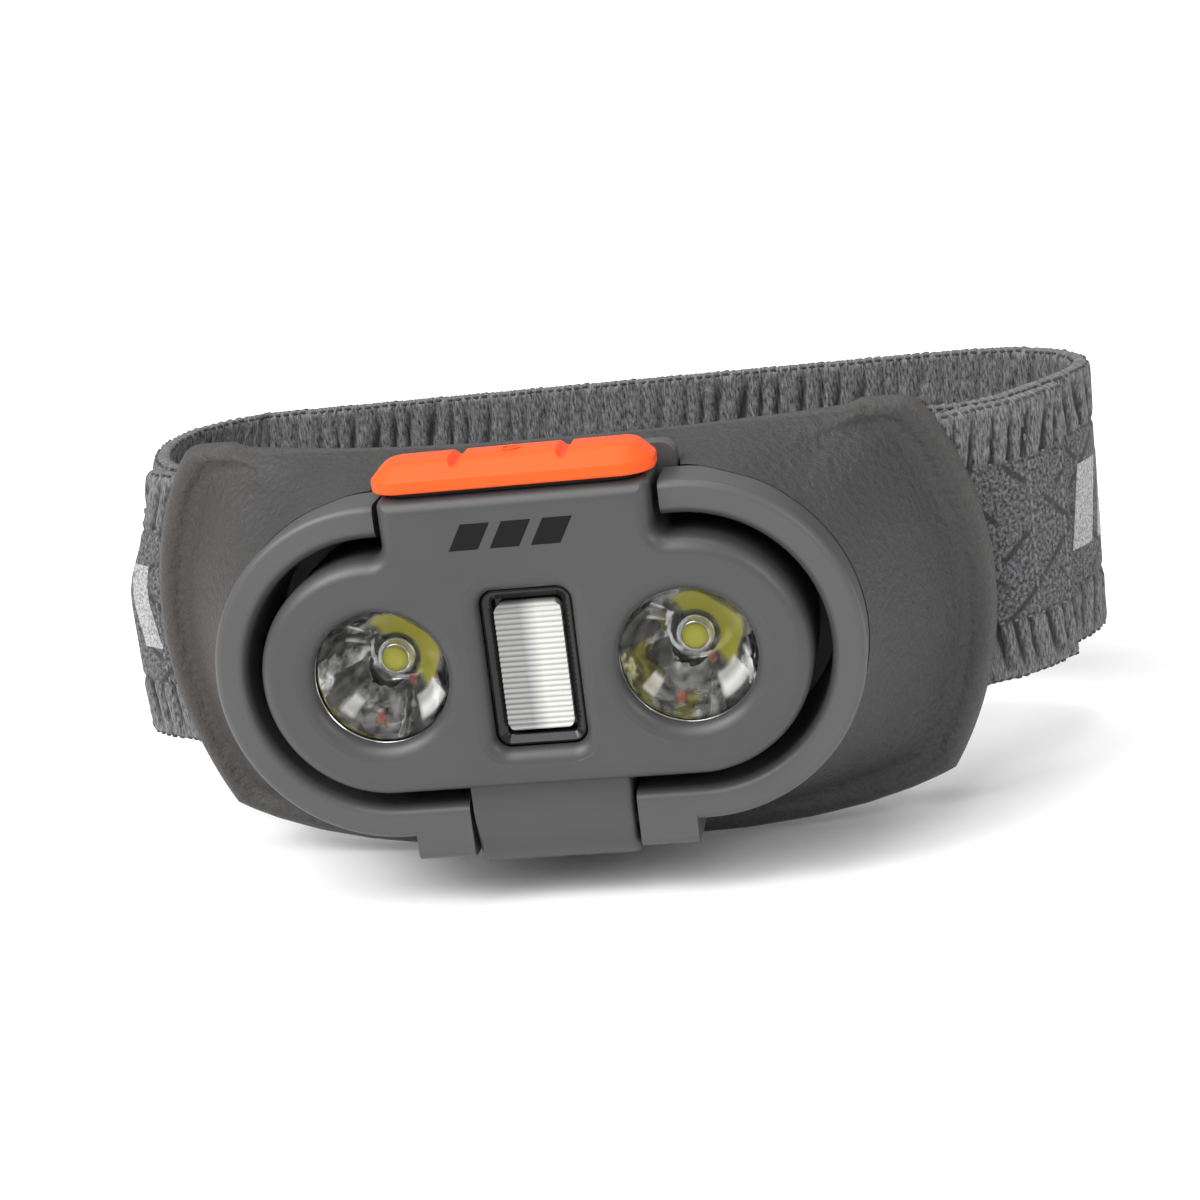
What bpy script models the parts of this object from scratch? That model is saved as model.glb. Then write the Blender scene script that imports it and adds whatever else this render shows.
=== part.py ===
"""Rechargeable headlamp: a tilting lamp pod in a cradle, on a soft wing panel with a knitted head strap.

Frame: origin at the centre of the forehead pad's flat rear face, +X to the right of someone facing the
lamp, +Y back towards the head, +Z up. Lengths are in metres. Depths and heights below are measured from
the middle of the lamp's front face, and at() moves them into the frame.
"""

import math

import bmesh
import bpy
from mathutils import Vector

# Where the lamp's front face lies in the frame
FACE_Y = -0.0272
EYE_Z = 0.0010

GAP = 0.0003

# Lamp pod: a pill with a bump on top
PILL_X = 0.0159
PILL_R = 0.0126
BUMP_X = 0.0139
BUMP_TOP = 0.0187
BUMP_FILLET = 0.0015
BUMP_CORNER = 0.0008
BUMP_BACK = 0.0086
HOUSING_BACK = 0.0120
COVER_FRONT = 0.0124
POD_BACK = 0.0170
WALL = 0.0014
FACE_ROUND = 0.0018

# Optics
EYE_X = 0.0159
EYE_R = 0.0071
EYE_FLARE = 0.0010
LENS_R = 0.0082
LENS_FRONT = 0.0017
LENS_BACK = 0.0026
BOWL_FRONT = 0.0029
BOWL_BACK = 0.0094
BOWL_MOUTH_R = 0.0074
BOWL_NECK_R = 0.0020
BOARD_FRONT = 0.0102
BOARD_BACK = 0.0112
WINDOW_X = 0.0047
WINDOW_Z = 0.0083

# Button
BUTTON_X = 0.0144
BUTTON_Y = (0.0003, 0.0083)
BUTTON_Z = (0.0192, 0.0220)
GROOVE_X = 0.0055

# Mark on the bump
BAR_MIDDLES = (-0.0047, -0.0005, 0.0037)
BAR_Z = (0.0131, 0.0158)
BAR_WIDE = 0.0026
BAR_LEAN = 0.0016

# Screws
BOSS_X = 0.0249
BOSS_Z = 0.0049
BOSS_R = 0.0014
SCREW_R = 0.0006
FIX_X = 0.0120

# Tilt hinge
PIN_Y = 0.0060
PIN_Z = -0.0185
PIN_R = 0.0008
BORE_R = 0.0012
LUG_X = 0.0084
LUG_R = 0.0037
KNUCKLE_X = (0.0088, 0.0148)

# Cradle
RING_INNER_R = 0.01445
RING_OUTER_R = 0.01795
RING_FRONT = 0.0020
CUP_FLOOR = 0.0176
CUP_BACK = 0.0192
CUP_BACK_R = 0.0168
CUP_STEP = 0.0084
ARM_X = 0.0146
TONGUE_X = 0.0159
TONGUE_Y = (0.0091, 0.0116)
TONGUE_TOP = 0.0204

# Wing panel: its outline is a side arc between straight top and bottom stretches
WING_ARC_X = 0.0090
WING_ARC_Z = -0.0019
WING_ARC_R = 0.0378
WING_CORNER_Z = -0.0222
WING_BOTTOM = ((0.0, -0.0263), (0.0180, -0.0263), (0.0310, -0.0250))
WING_TOP = ((0.0392, 0.0198), (0.0346, 0.0202), (0.0326, 0.0196), (0.0160, 0.0194), (0.0, 0.0195))
WING_RIM = 0.0020
WING_BACK_Y = 0.0210
WING_CURVE_R = 0.1700
WING_INNER_R = 0.0183
WING_DISH = 1.8

# Back frame, strap bars and pad
FRAME_X = 0.0352
FRAME_Z = (-0.0164, 0.0184)
FRAME_THICK = 0.0016
BAR_X = 0.0394
BAR_Y = 0.0295
BAR_R = 0.0012
PAD_X = 0.0335
PAD_Z = (-0.0160, 0.0140)
PAD_FLAT_X = 0.0150
PAD_BACK = 0.0272

# Strap
STRAP_Z = (-0.0146, 0.0169)
STRAP_THICK = 0.0020
LAYER_STEP = 0.00235
BACK_RUN_Y = 0.0625
APPROACH = (0.0428, 0.0277)
FOLD_END_Y = (0.0352, 0.0390)

QUARTER = math.pi / 2


def at(x, y, z):
    """A point given by its place on the lamp, moved into the frame."""
    return Vector((x, y + FACE_Y, z + EYE_Z))


def arc(cx, cz, r, start, end, steps):
    """Points on an arc from the angle start to the angle end, both included."""
    return [
        (cx + r * math.cos(start + (end - start) * i / steps), cz + r * math.sin(start + (end - start) * i / steps))
        for i in range(steps + 1)
    ]


def mirrored(half):
    """A closed outline from its right half, which runs from the bottom up."""
    return half + [(-x, z) for x, z in reversed(half) if abs(x) > 1e-9]


# --- outlines in the X-Z plane -------------------------------------------------------------------


def stadium(cx, r, steps=12):
    """A pill outline with its round ends centred at plus and minus cx."""
    return mirrored(arc(cx, 0, r, -QUARTER, QUARTER, steps))


def pod_outline(inset=0.0, steps=16):
    """The pill with the bump on top, drawn inwards by inset."""
    half = arc(PILL_X, 0, PILL_R - inset, -QUARTER, QUARTER, steps)
    fillet_z = PILL_R + BUMP_FILLET
    half += arc(BUMP_X + BUMP_FILLET, fillet_z, BUMP_FILLET + inset, 3 * QUARTER, 2 * QUARTER, 4)
    corner = max(BUMP_CORNER - inset, 0.0001)
    side = BUMP_X - inset
    top = BUMP_TOP - inset
    half += arc(side - corner, top - corner, corner, 0, QUARTER, 3)
    return mirrored(half)


def rounded_box(hx, hz, r, steps=4):
    """A rectangle with round corners, centred on the origin."""
    half = arc(hx - r, -hz + r, r, -QUARTER, 0, steps) + arc(hx - r, hz - r, r, 0, QUARTER, steps)
    return mirrored(half)


# --- meshes --------------------------------------------------------------------------------------


def material(name, colour, roughness, metallic=0.0, alpha=1.0):
    """A Principled material, made once for each name."""
    found = bpy.data.materials.get(name)
    if found:
        return found
    mat = bpy.data.materials.new(name)
    mat.use_nodes = True
    shader = mat.node_tree.nodes["Principled BSDF"]
    shader.inputs["Base Color"].default_value = (*colour, 1.0)
    shader.inputs["Roughness"].default_value = roughness
    shader.inputs["Metallic"].default_value = metallic
    shader.inputs["Alpha"].default_value = alpha
    mat.diffuse_color = (*colour, alpha)
    return mat


def smooth(mesh, angle=35.0):
    mesh.shade_smooth()
    mesh.set_sharp_from_angle(angle=math.radians(angle))


def make(name, bm, mat=None, cutter=False, origin=None):
    """An object from a bmesh whose points are in the frame. Its own origin is put at origin."""
    bmesh.ops.recalc_face_normals(bm, faces=bm.faces)
    shift = Vector(origin) if origin is not None else Vector((0, 0, 0))
    bmesh.ops.translate(bm, verts=bm.verts, vec=-shift)
    mesh = bpy.data.meshes.new(name)
    bm.to_mesh(mesh)
    bm.free()
    smooth(mesh)
    obj = bpy.data.objects.new(name, mesh)
    obj.location = shift
    if cutter:
        obj.hide_render = True
        obj.display_type = "WIRE"
        CUTTERS.objects.link(obj)
    else:
        obj.data.materials.append(mat)
        PARTS.objects.link(obj)
    return obj


def loft(rings, closed=False):
    """A bmesh through rings of points. Its ends are capped, or its last ring meets its first."""
    bm = bmesh.new()
    loops = [[bm.verts.new(p) for p in ring] for ring in rings]
    count = len(loops[0])
    pairs = list(zip(loops, loops[1:]))
    if closed:
        pairs.append((loops[-1], loops[0]))
    for low, high in pairs:
        for i in range(count):
            j = (i + 1) % count
            bm.faces.new((low[i], low[j], high[j], high[i]))
    if not closed:
        bm.faces.new(list(reversed(loops[0])))
        bm.faces.new(loops[-1])
    return bm


def along_y(profile, outline):
    """Rings for a loft: profile holds (inset or radius, depth), and outline turns the first into points."""
    return [[at(x, y, z) for x, z in outline(size)] for size, y in profile]


def rounding(size, depth, radius, turn, steps=4):
    """Profile points of a quarter round at an edge. turn is the sign of the size change along it."""
    return [
        (size + turn * radius * (1 - math.cos(QUARTER * i / steps)), depth - radius * math.sin(QUARTER * i / steps))
        for i in range(steps + 1)
    ]


def box(low, high):
    """A bmesh box between two corners on the lamp."""
    bm = bmesh.new()
    bmesh.ops.create_cube(bm, size=1.0)
    a, b = at(*low), at(*high)
    bmesh.ops.scale(bm, verts=bm.verts, vec=b - a)
    bmesh.ops.translate(bm, verts=bm.verts, vec=(a + b) / 2)
    return bm


def turned(profile, centre, axis="Y", steps=24, closed=False):
    """A bmesh turned about an axis through centre. profile holds (radius, place along the axis)."""
    cx, cy, cz = centre
    rings = []
    for r, s in profile:
        ring = []
        for i in range(steps):
            a = 2 * math.pi * i / steps
            u, v = r * math.cos(a), r * math.sin(a)
            place = {"X": (cx + s, cy + u, cz + v), "Y": (cx + u, cy + s, cz + v), "Z": (cx + u, cy + v, cz + s)}
            ring.append(at(*place[axis]))
        rings.append(ring)
    return loft(rings, closed)


def cylinder(centre, r, length, axis="Y", steps=24):
    return turned([(r, 0.0), (r, length)], centre, axis, steps)


def cut(obj, bm, how="DIFFERENCE"):
    """A Boolean on obj with a cutter made from a bmesh."""
    tool = make(f"{obj.name}_cutter_{len(obj.modifiers)}", bm, cutter=True)
    mod = obj.modifiers.new(how.title(), "BOOLEAN")
    mod.operation = how
    mod.object = tool
    mod.solver = "EXACT"


def join(obj, bm):
    cut(obj, bm, "UNION")


def prism_x(points, x0, x1):
    """A bmesh of a (depth, height) outline, drawn out along X."""
    return loft([[at(x, y, z) for y, z in points] for x in (x0, x1)])


def prism_z(points, z0, z1):
    """A bmesh of an (x, depth) outline, drawn out along Z."""
    return loft([[at(x, y, z) for x, y in points] for z in (z0, z1)])


# --- lamp pod ------------------------------------------------------------------------------------


def eye_opening(sign):
    """A cutter for one lens opening, flared where it meets the face."""
    flare = [
        (EYE_R + EYE_FLARE * (1 - math.sin(QUARTER * i / 4)), EYE_FLARE * (1 - math.cos(QUARTER * i / 4)))
        for i in range(5)
    ]
    profile = [(EYE_R + EYE_FLARE, -0.002)] + flare + [(EYE_R, 0.003)]
    return turned(profile, (sign * EYE_X, 0, 0), steps=40)


def window_opening():
    """A cutter for the flood window, flared where it meets the face."""
    flare = [
        (EYE_FLARE * (1 - math.sin(QUARTER * i / 4)), EYE_FLARE * (1 - math.cos(QUARTER * i / 4))) for i in range(5)
    ]
    profile = [(EYE_FLARE, -0.002)] + flare + [(0.0, 0.003)]
    return loft(along_y(profile, lambda grow: rounded_box(WINDOW_X + grow, WINDOW_Z + grow, 0.0016 + grow)))


def pod_front_housing(mat):
    shell = [(WALL, WALL), (WALL, HOUSING_BACK), (0.0, HOUSING_BACK)]
    shell += rounding(0.0, FACE_ROUND, FACE_ROUND, 1)
    obj = make("pod_front_housing", loft(along_y(shell, pod_outline)), mat, origin=at(0, PIN_Y, PIN_Z))
    cut(obj, box((-0.02, BUMP_BACK, PILL_R + 0.00005), (0.02, 0.02, 0.03)))
    shelf = [
        (0.0074, 0.0182),
        (0.0074, 0.0113),
        (HOUSING_BACK - 0.0001, 0.0113),
        (HOUSING_BACK - 0.0001, PILL_R + 0.0001),
        (BUMP_BACK - 0.00005, PILL_R + 0.0001),
        (BUMP_BACK - 0.00005, 0.0182),
    ]
    join(obj, prism_x(shelf, -0.0135, 0.0135))
    web = [(0.0025, -0.0120), (0.0025, PIN_Z), (PIN_Y + LUG_R - 0.0004, PIN_Z), (PIN_Y + LUG_R - 0.0004, -0.0120)]
    join(obj, prism_x(web, -LUG_X + 0.00005, LUG_X - 0.00005))
    join(obj, cylinder((-LUG_X, PIN_Y, PIN_Z), LUG_R, 2 * LUG_X, "X", 32))
    cut(obj, cylinder((-0.012, PIN_Y, PIN_Z), BORE_R, 0.024, "X", 20))
    for sign in (-1, 1):
        cut(obj, eye_opening(sign))
        for height in (-BOSS_Z, BOSS_Z):
            join(obj, cylinder((sign * BOSS_X, 0.0012, height), BOSS_R, HOUSING_BACK - 0.0013, steps=16))
            cut(obj, cylinder((sign * BOSS_X, 0.0050, height), SCREW_R + GAP, 0.009, steps=12))
    cut(obj, window_opening())
    cut(obj, box((-0.0120, 0.0018, 0.0150), (0.0120, 0.0068, 0.0250)))
    for middle in BAR_MIDDLES:
        cut(obj, slanted_bar(middle, GAP, -0.001, 0.0020))
    return obj


def pod_rear_cover(mat):
    def pill(inset):
        return stadium(PILL_X, PILL_R - inset)

    shell = [(0.0018, POD_BACK - 0.0013), (0.0018, COVER_FRONT), (0.0, COVER_FRONT)]
    back_round = [
        (0.002 * (1 - math.cos(QUARTER * i / 4)), POD_BACK - 0.002 + 0.002 * math.sin(QUARTER * i / 4))
        for i in range(5)
    ]
    obj = make("pod_rear_cover", loft(along_y(shell + back_round, pill)), mat)
    for sign in (-1, 1):
        for height in (-BOSS_Z, BOSS_Z):
            join(obj, cylinder((sign * BOSS_X, COVER_FRONT + 0.0001, height), BOSS_R, 0.0038, steps=16))
            cut(obj, cylinder((sign * BOSS_X, 0.010, height), SCREW_R + GAP, 0.010, steps=12))
            cut(obj, cylinder((sign * BOSS_X, 0.0160, height), 0.0013 + GAP, 0.004, steps=16))
    groove = [(0.0004, 0.0100), (0.0004, 0.0134), (0.0013, 0.0134), (0.0013, 0.0100)]
    cut(obj, loft(along_y(groove, pill), closed=True))
    cut(obj, loft(along_y([(0.0, 0.0150), (0.0, 0.0180)], lambda _: rounded_box(0.0051, 0.0023, 0.0016))))
    return obj


def housing_seal(mat):
    ring = [(0.0007, 0.0123), (0.0007, 0.0131), (0.00105, 0.0131), (0.00105, 0.0123)]
    rings = along_y(ring, lambda inset: stadium(PILL_X, PILL_R - inset))
    return make("housing_seal", loft(rings, closed=True), mat)


def cover_screw(name, sign, height, mat):
    profile = [(SCREW_R, -0.0090), (SCREW_R, 0.0), (0.0013, 0.0), (0.0013, 0.0007), (0.0010, 0.0009)]
    obj = make(name, turned(profile, (sign * BOSS_X, 0.0163, height), steps=12), mat)
    cut(obj, box((sign * BOSS_X - 0.0009, 0.0168, height - 0.00015), (sign * BOSS_X + 0.0009, 0.02, height + 0.00015)))
    return obj


def optics(side, sign, mats):
    """A cover lens, a reflector bowl and an emitter for one eye."""
    eye = (sign * EYE_X, 0, 0)
    dome = [(LENS_R, LENS_BACK), (LENS_R, LENS_FRONT), (EYE_R - GAP, LENS_FRONT - 0.0001)]
    make(f"lens_{side}", turned(dome + [(EYE_R - 0.0015, LENS_FRONT - 0.0003)], eye, steps=32), mats["clear"])

    def bowl(t):
        r = BOWL_NECK_R + (BOWL_MOUTH_R - BOWL_NECK_R) * math.sqrt(t)
        return r, BOWL_BACK - (BOWL_BACK - BOWL_FRONT) * t

    inner = [bowl((i / 6) ** 2) for i in range(7)]
    outer = [(r + 0.0007, y + 0.0001) for r, y in inner]
    outer[-1] = (LENS_R, inner[-1][1] + 0.0006)
    outer.append((LENS_R, inner[-1][1]))
    cup = turned(inner + list(reversed(outer)), eye, steps=24, closed=True)
    make(f"reflector_{side}", cup, mats["chrome"])
    base = BOARD_FRONT - GAP
    led = turned(
        [(0.0017, base), (0.0017, base - 0.0004), (0.0012, base - 0.0009), (0.0005, base - 0.0012)], eye, steps=16
    )
    make(f"led_{side}", led, mats["phosphor"])


def flood(mats):
    bezel = [(0.0012, 0.0011), (0.0012, 0.0031), (0.0, 0.0031), (0.0, 0.0011)]

    def frame_line(inset):
        return rounded_box(WINDOW_X - GAP - inset, WINDOW_Z - GAP - inset, 0.0014 - inset)

    make("flood_bezel", loft(along_y(bezel, frame_line), closed=True), mats["black"])
    width = WINDOW_X - 0.0018
    height = WINDOW_Z - 0.0018
    ribs = 14
    step = 2 * height / ribs
    points = [(0.0030, -height)]
    for i in range(ribs):
        points += [(0.0022, -height + step * i + step * 0.25), (0.0019, -height + step * (i + 0.5))]
        points += [(0.0022, -height + step * i + step * 0.75)]
    points += [(0.0030, height)]
    make("flood_lens", prism_x(points, -width, width), mats["clear"])
    make("flood_circuit_board", box((-0.0040, 0.0070, -0.0078), (0.0040, 0.0080, 0.0078)), mats["board"])
    make("flood_led_white", box((0.0004, 0.0061, -0.0050), (0.0028, 0.0067, 0.0050)), mats["phosphor"])
    make("flood_led_red", box((-0.0028, 0.0061, -0.0050), (-0.0004, 0.0067, 0.0050)), mats["red"])


def slanted_bar(middle, grow, front, back):
    """A bmesh of one slanted bar of the mark, drawn out in depth."""
    low, high = BAR_Z[0] - grow, BAR_Z[1] + grow
    lean = BAR_LEAN / 2
    half = BAR_WIDE / 2 + grow
    outline = [(middle - lean - half, low), (middle - lean + half, low)]
    outline += [(middle + lean + half, high), (middle + lean - half, high)]
    return loft([[at(x, y, z) for x, z in outline] for y in (front, back)])


def badge_bars(mat):
    """Three plain slanted bars let into the bump, joined behind its wall."""
    obj = make("badge_bars", box((-0.0072, 0.0017, 0.0136), (0.0062, 0.0021, 0.0154)), mat)
    for middle in BAR_MIDDLES:
        join(obj, slanted_bar(middle, 0.0, 0.0001, 0.0019))
    return obj


def power_button(mat):
    depth = (BUTTON_Y[1] - BUTTON_Y[0]) / 2
    middle = (BUTTON_Y[1] + BUTTON_Y[0]) / 2
    levels = [(0.0, 0.0), (0.0, 0.0010), (0.0004, 0.0017), (0.0013, 0.0025), (0.0019, 0.0028)]
    rings = []
    for inset, lift in levels:
        plan = rounded_box(BUTTON_X - inset, depth - inset, 0.0032 - inset, 5)
        rings.append([at(x, middle + y, BUTTON_Z[0] + lift) for x, y in plan])
    obj = make("power_button", loft(rings), mat, origin=at(0, middle, BUTTON_Z[0]))
    for x in (-GROOVE_X, GROOVE_X):
        groove = [(x - 0.0009, BUTTON_Z[1] + 0.001), (x, BUTTON_Z[1] - 0.0008), (x + 0.0009, BUTTON_Z[1] + 0.001)]
        cut(obj, loft([[at(a, y, z) for a, z in groove] for y in (-0.002, 0.011)]))
    join(obj, box((-0.0112, 0.0024, 0.0165), (0.0112, 0.0062, BUTTON_Z[0] + 0.0005)))
    icon = turned([(0.0011, -0.0004), (0.0011, 0.0002)], (0, middle, BUTTON_Z[1]), "Z", 16)
    join(obj, icon)
    return obj


def switch(mats):
    middle = 0.0043
    obj = make("tact_switch", box((-0.0030, middle - 0.0018, 0.0134), (0.0030, middle + 0.0018, 0.0156)), mats["black"])
    cut(obj, cylinder((0, middle, 0.0139), 0.0012, 0.004, "Z", 16))
    make("switch_plunger", cylinder((0, middle, 0.0149), 0.0009, 0.0013, "Z", 16), mats["steel"])
    make("switch_board", box((-0.0060, 0.0020, 0.0123), (0.0060, 0.0068, 0.0131)), mats["board"])


def electronics(mats):
    board = make(
        "main_circuit_board",
        loft(along_y([(0.0, BOARD_FRONT), (0.0, BOARD_BACK)], lambda _: rounded_box(0.0230, 0.0095, 0.004))),
        mats["board"],
    )
    make(
        "battery_cell",
        loft(along_y([(0.0, 0.0115), (0.0, 0.0146)], lambda _: rounded_box(0.0220, 0.0088, 0.0012))),
        mats["foil"],
    )
    return board


def charging_port(mats):
    """The socket and its plug, which is reached with the lamp tilted forward."""
    shell = loft(along_y([(0.0, 0.0153), (0.0, 0.0164)], lambda _: rounded_box(0.0045, 0.0016, 0.0013)))
    make("usb_c_port", shell, mats["steel"])
    plug = loft(along_y([(0.0, 0.0167), (0.0, 0.0172)], lambda _: rounded_box(0.0048, 0.0020, 0.0013)))
    make("port_plug", plug, mats["rubber"])


# --- cradle --------------------------------------------------------------------------------------


def cradle_frame(mat):
    lip = 0.0014
    profile = [(CUP_BACK_R, CUP_BACK), (CUP_BACK_R, CUP_STEP + 0.0006), (RING_OUTER_R, CUP_STEP)]
    profile += rounding(RING_OUTER_R, RING_FRONT + lip, lip, -1)
    profile += [
        (
            RING_INNER_R + lip * (1 - math.sin(QUARTER * i / 4)),
            RING_FRONT + lip * (1 - math.cos(QUARTER * i / 4)),
        )
        for i in range(5)
    ]
    profile += [(RING_INNER_R, CUP_FLOOR)]
    obj = make("cradle_frame", loft(along_y(profile, lambda r: stadium(PILL_X, r, 16))), mat)
    cut(obj, box((-ARM_X, 0.0, 0.0140), (ARM_X, TONGUE_Y[0], 0.0250)))
    tongue = [(x, z + 0.0173) for x, z in rounded_box(TONGUE_X, TONGUE_TOP - 0.0173, 0.0016, 3)]
    join(obj, loft([[at(x, y, z) for x, z in tongue] for y in TONGUE_Y]))
    for sign in (-1, 1):
        x0, x1 = sorted((sign * KNUCKLE_X[0], sign * KNUCKLE_X[1]))
        block = [(y + PIN_Y, z - 0.0180) for y, z in rounded_box(0.0037, 0.0026, 0.0010, 3)]
        join(obj, prism_x(block, x0, x1))
    cut(obj, box((-KNUCKLE_X[0], -0.001, -0.0300), (KNUCKLE_X[0], 0.0118, -0.0140)))
    cut(obj, cylinder((-0.0140, PIN_Y, PIN_Z), PIN_R + GAP, 0.0280, "X", 20))
    for sign in (-1, 1):
        cut(obj, cylinder((sign * FIX_X, 0.0185, 0), SCREW_R + GAP, 0.01, steps=12))
    return obj


def hinge_pin(mat):
    return make("hinge_pin", cylinder((-0.0137, PIN_Y, PIN_Z), PIN_R, 0.0274, "X", 16), mat)


def tilt_detent(mat):
    """A leaf that bears on the back of the lug and holds the tilt."""
    leaf = [(0.0109, -0.0170), (0.0106, -0.0190), (0.0109, -0.0212), (0.0113, -0.0212), (0.0110, -0.0190)]
    leaf += [(0.0113, -0.0170)]
    return make("tilt_detent", prism_x(leaf, -0.0060, 0.0060), mat)


# --- wing panel, back frame and pad --------------------------------------------------------------


def back_line(x):
    """Depth of the panel's rear edge, which follows the forehead."""
    return WING_BACK_Y + x * x / (2 * WING_CURVE_R)


def wing_outline():
    """The right half of the bow-tie outline, from the bottom up."""
    low = math.asin((WING_CORNER_Z - WING_ARC_Z) / WING_ARC_R)
    high = math.asin((0.0186 - WING_ARC_Z) / WING_ARC_R)
    side = arc(WING_ARC_X, WING_ARC_Z, WING_ARC_R, low, high, 12)
    return list(WING_BOTTOM) + side + list(WING_TOP)


def meet(origin, direction, outline):
    """Where a ray from origin crosses a closed outline."""
    best = None
    count = len(outline)
    for i in range(count):
        ax, az = outline[i]
        bx, bz = outline[(i + 1) % count]
        ex, ez = bx - ax, bz - az
        det = ex * direction[1] - ez * direction[0]
        if abs(det) < 1e-15:
            continue
        wx, wz = ax - origin[0], az - origin[1]
        reach = (ex * wz - ez * wx) / det
        share = (direction[0] * wz - direction[1] * wx) / det
        if reach > 1e-6 and -1e-9 <= share <= 1 + 1e-9 and (best is None or reach < best):
            best = reach
    return origin[0] + direction[0] * best, origin[1] + direction[1] * best


def inner_depth(x):
    """Depth where the panel meets the cradle: forward at the sides, behind the tongue and the hinge."""
    t = min(max((abs(x) - 0.0166) / 0.0032, 0.0), 1.0)
    return 0.0124 - 0.0049 * t * t * (3 - 2 * t)


def wing_panel(mat, steps=28, across=6):
    outline = mirrored(wing_outline())
    starts = stadium(PILL_X, 1.0, steps)
    rays = []
    for x, z in starts:
        cx = PILL_X if x > 0 else -PILL_X
        rays.append(((cx, 0.0), (x - cx, z)))
    straight = [(-PILL_X + 2 * PILL_X * k / 6) for k in range(1, 6)]
    top = [((x, 0.0), (0.0, 1.0)) for x in reversed(straight)]
    bottom = [((x, 0.0), (0.0, -1.0)) for x in straight]
    half = len(rays) // 2
    rays = rays[:half] + top + rays[half:] + bottom

    def surface(radius, inner_lift, rim_lift):
        rows = []
        for k in range(across + 1):
            u = k / across
            row = []
            for (cx, cz), (dx, dz) in rays:
                x0, z0 = cx + dx * radius, cz + dz * radius
                x1, z1 = meet((cx, cz), (dx, dz), outline)
                x, z = x0 + (x1 - x0) * u, z0 + (z1 - z0) * u
                y0 = inner_depth(x0) + inner_lift
                y1 = back_line(x1) - rim_lift
                row.append(at(x, y0 + (y1 - y0) * (1 - (1 - u) ** WING_DISH), z))
            rows.append(row)
        return rows

    front = surface(WING_INNER_R, 0.0, WING_RIM)
    back = surface(WING_INNER_R - 0.0011, 0.0034, 0.0)
    return make("wing_panel", loft(front + list(reversed(back)), closed=True), mat)


def back_frame(mat):
    """A curved plate behind the panel, with a bar for the strap at each end."""
    xs = [-FRAME_X + 2 * FRAME_X * i / 14 for i in range(15)]
    front = [(x, back_line(x) + GAP) for x in xs]
    back = [(x, back_line(x) + GAP + FRAME_THICK) for x in reversed(xs)]
    obj = make("back_frame", prism_z(front + back, *FRAME_Z), mat)
    for sign in (-1, 1):
        for low, high in ((FRAME_Z[0], FRAME_Z[0] + 0.0013), (FRAME_Z[1] - 0.0012, FRAME_Z[1])):
            inner, outer = (FRAME_X - 0.001), (BAR_X + BAR_R * 0.7)
            y_in = back_line(inner) + GAP + 0.0002
            arm = [(sign * inner, y_in), (sign * outer, BAR_Y - 0.0008), (sign * outer, BAR_Y + 0.0008)]
            arm.append((sign * inner, y_in + FRAME_THICK - 0.0004))
            join(obj, prism_z(arm, low + 0.00005, high - 0.00005))
        bar_foot = (sign * BAR_X, BAR_Y, FRAME_Z[0] + 0.0003)
        join(obj, cylinder(bar_foot, BAR_R, FRAME_Z[1] - FRAME_Z[0] - 0.0006, "Z", 14))
        join(obj, cylinder((sign * FIX_X, CUP_BACK + GAP, 0), 0.0026, 0.0030, steps=16))
        cut(obj, cylinder((sign * FIX_X, 0.018, 0), SCREW_R + GAP, 0.01, steps=12))
        cut(obj, cylinder((sign * FIX_X, 0.0222, 0), 0.0013 + GAP, 0.004, steps=16))
    return obj


def frame_screw(name, sign, mat):
    profile = [(SCREW_R, -0.0035), (SCREW_R, 0.0), (0.0013, 0.0), (0.0013, 0.0005)]
    return make(name, turned(profile, (sign * FIX_X, 0.0225, 0), steps=12), mat)


def forehead_pad(mat):
    xs = [-PAD_X + 2 * PAD_X * i / 24 for i in range(25)]
    front = [(x, back_line(x) + FRAME_THICK + 2 * GAP) for x in xs]
    back = [(x, PAD_BACK + max(abs(x) - PAD_FLAT_X, 0.0) ** 2 / 0.138) for x in reversed(xs)]
    return make("forehead_pad", prism_z(front + back, *PAD_Z), mat)


# --- strap ---------------------------------------------------------------------------------------


def curve_through(points, per_span=5):
    """A smooth line through plan points (Catmull-Rom)."""
    line = []
    ends = [points[0]] + list(points) + [points[-1]]
    for i in range(1, len(ends) - 2):
        p0, p1, p2, p3 = (Vector(p) for p in ends[i - 1 : i + 3])
        for k in range(per_span):
            t = k / per_span
            bend = (2 * p0 - 5 * p1 + 4 * p2 - p3) * t**2 + (3 * p1 - p0 - 3 * p2 + p3) * t**3
            line.append(0.5 * (2 * p1 + (p2 - p0) * t + bend))
    line.append(Vector(points[-1]))
    return line


def sideways(line, offset):
    """The line moved by offset to its left-hand side."""
    moved = []
    for i, p in enumerate(line):
        step = line[min(i + 1, len(line) - 1)] - line[max(i - 1, 0)]
        step.normalize()
        moved.append(p + Vector((-step.y, step.x)) * offset)
    return moved


def bar_turn(sign):
    """The strap's turn round one bar, from the bar's rear to its front."""
    r = BAR_R + GAP + STRAP_THICK / 2
    return [
        Vector((sign * (BAR_X - r * math.cos(a)), BAR_Y + r * math.sin(a)))
        for a in [QUARTER - math.pi * i / 8 for i in range(1, 9)]
    ]


RIGHT_PLAN = (
    (0.0420, 0.0625),
    (0.0500, 0.0612),
    (0.0558, 0.0568),
    (0.0580, 0.0505),
    (0.0562, 0.0450),
    (0.0520, 0.0390),
    (0.0480, 0.0343),
    (0.0440, 0.0323),
    (0.0394, 0.0320),
)
LEFT_PLAN = (
    (-0.0425, 0.0625),
    (-0.0488, 0.0612),
    (-0.0532, 0.0568),
    (-0.0546, 0.0500),
    (-0.0536, 0.0430),
    (-0.0512, 0.0375),
    (-0.0476, 0.0338),
    (-0.0438, 0.0321),
    (-0.0394, 0.0320),
)


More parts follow.
